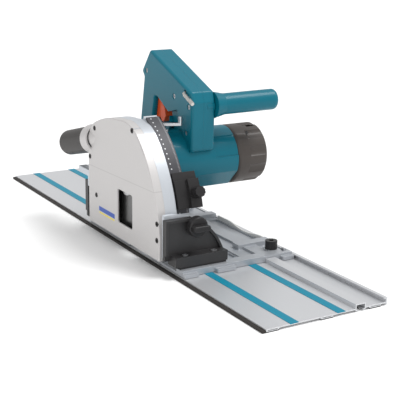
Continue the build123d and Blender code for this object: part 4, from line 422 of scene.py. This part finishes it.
cap_low, cap_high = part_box("motor_end_cap")
cap_x = (cap_low.x + cap_high.x) / 2
cap_z = (cap_low.z + cap_high.z) / 2
cap_r = (cap_high.x - cap_low.x) / 2
cap_wall = 0.0045
cap_floor = 0.005
flute_count = 10
flute_r = 0.0135
flute_reach = 0.0105
flute_start = 0.021
cap = rod_along_y(cap_x, cap_z, cap_r - 0.0001, cap_low.y, cap_high.y, 128)
cap.name = "motor_end_cap_fluted"
clear_selection()
bpy.context.view_layer.objects.active = cap
rim = cap.modifiers.new("rim", "BEVEL")
rim.width = 0.006
rim.segments = 4
rim.limit_method = "ANGLE"
rim.angle_limit = radians(60)
bpy.ops.object.modifier_apply(modifier=rim.name)
carve(cap, rod_along_y(cap_x, cap_z, cap_r - cap_wall, cap_low.y - 0.01, cap_high.y - cap_floor, 96))
for number in range(flute_count):
    turn = radians(360 / flute_count * number + 14)
    flute_x = cap_x + (cap_r + flute_reach) * cos(turn)
    flute_z = cap_z + (cap_r + flute_reach) * sin(turn)
    carve(cap, rod_along_y(flute_x, flute_z, flute_r, cap_low.y + flute_start, cap_high.y + 0.01, 40))
clear_selection()
bpy.ops.mesh.primitive_cube_add(size=1.0, location=(cap_x + 0.008, cap_high.y - 0.015, cap_z + cap_r))
window = bpy.context.object
window.scale = (0.013, 0.013, 0.03)
bake_in_place(window)
carve(cap, window)
clear_selection()
cap.select_set(True)
bpy.context.view_layer.objects.active = cap
bpy.ops.object.shade_smooth_by_angle(angle=radians(32))
cap.data.materials.clear()
cap.data.materials.append(cap_nylon.material)
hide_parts("motor_end_cap")
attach(cap, "motor_unit")

# ---------------------------------------------------------------- handle fittings
# Soft pad on the back of the grip, orange trigger and lock-off button, rubber gland.
wear(moulded("soft_pad", (0.02, 0.02, 0.02), 0.75, 1800.0, 0.0002), ["grip_rubber", "cord_inlet"])
orange = (0.78, 0.10, 0.02)
trigger_plastic = moulded("signal_orange", orange, 0.36, 1200.0, 0.00003, 0.12, 0.2, 0.0008)
wear(trigger_plastic, ["trigger", "lock_off_button"])

# ---------------------------------------------------------------- studio
# White floor, a broad high light from the motor side, a soft fill in front and a pale surround.

clear_selection()
bpy.ops.mesh.primitive_plane_add(size=14.0, location=(0, 0, 0))
floor = bpy.context.object
floor.name = "studio_floor"
floor_finish = Bench("floor_white")
floor_finish.feed(Base_Color=(0.96, 0.96, 0.96), Roughness=0.9)
floor.data.materials.append(floor_finish.material)

world = bpy.data.worlds.new("studio_air")
world.use_nodes = True
world.node_tree.nodes["Background"].inputs[0].default_value = (1.0, 1.0, 1.0, 1.0)
world.node_tree.nodes["Background"].inputs[1].default_value = 0.72
bpy.context.scene.world = world
bpy.context.scene.view_settings.view_transform = "Standard"


def soft_light(name, spot, aim, width, power):
    """Square soft box aimed at a point."""
    lamp = bpy.data.lights.new(name, "AREA")
    lamp.shape = "SQUARE"
    lamp.size = width
    lamp.energy = power
    box_light = bpy.data.objects.new(name, lamp)
    box_light.location = spot
    box_light.rotation_euler = (Vector(aim) - Vector(spot)).to_track_quat("-Z", "Y").to_euler()
    bpy.context.scene.collection.objects.link(box_light)


middle = (0.05, 0.0, 0.10)
day = bpy.data.lights.new("high_window", "SUN")
day.energy = 1.9
day.angle = radians(28)
high_window = bpy.data.objects.new("high_window", day)
high_window.rotation_euler = Vector((-0.25, -0.45, -1.0)).to_track_quat("-Z", "Y").to_euler()
bpy.context.scene.collection.objects.link(high_window)
soft_light("front_fill", (1.9, -1.5, 0.9), middle, 1.4, 9)

# Camera: level eye above the rail's front end, at the blade side.
eye = Vector((1.2515, -0.6905, 0.4470))
heading = radians(59.06)
dip = radians(15.63)
tilt = radians(0.84)
ahead = Vector((-sin(heading) * cos(dip), cos(heading) * cos(dip), -sin(dip)))
side = ahead.cross(Vector((0, 0, 1))).normalized()
above = side.cross(ahead)
turned = side * cos(tilt) + above * sin(tilt)
lens = bpy.data.cameras.new("camera")
lens.lens = 88.66
lens.sensor_width = 36.0
lens.clip_end = 50.0
camera = bpy.data.objects.new("camera", lens)
rows = Matrix((turned, turned.cross(-ahead) * -1, -ahead)).transposed()
camera.matrix_world = Matrix.Translation(eye) @ rows.to_4x4()
bpy.context.scene.collection.objects.link(camera)
bpy.context.scene.camera = camera
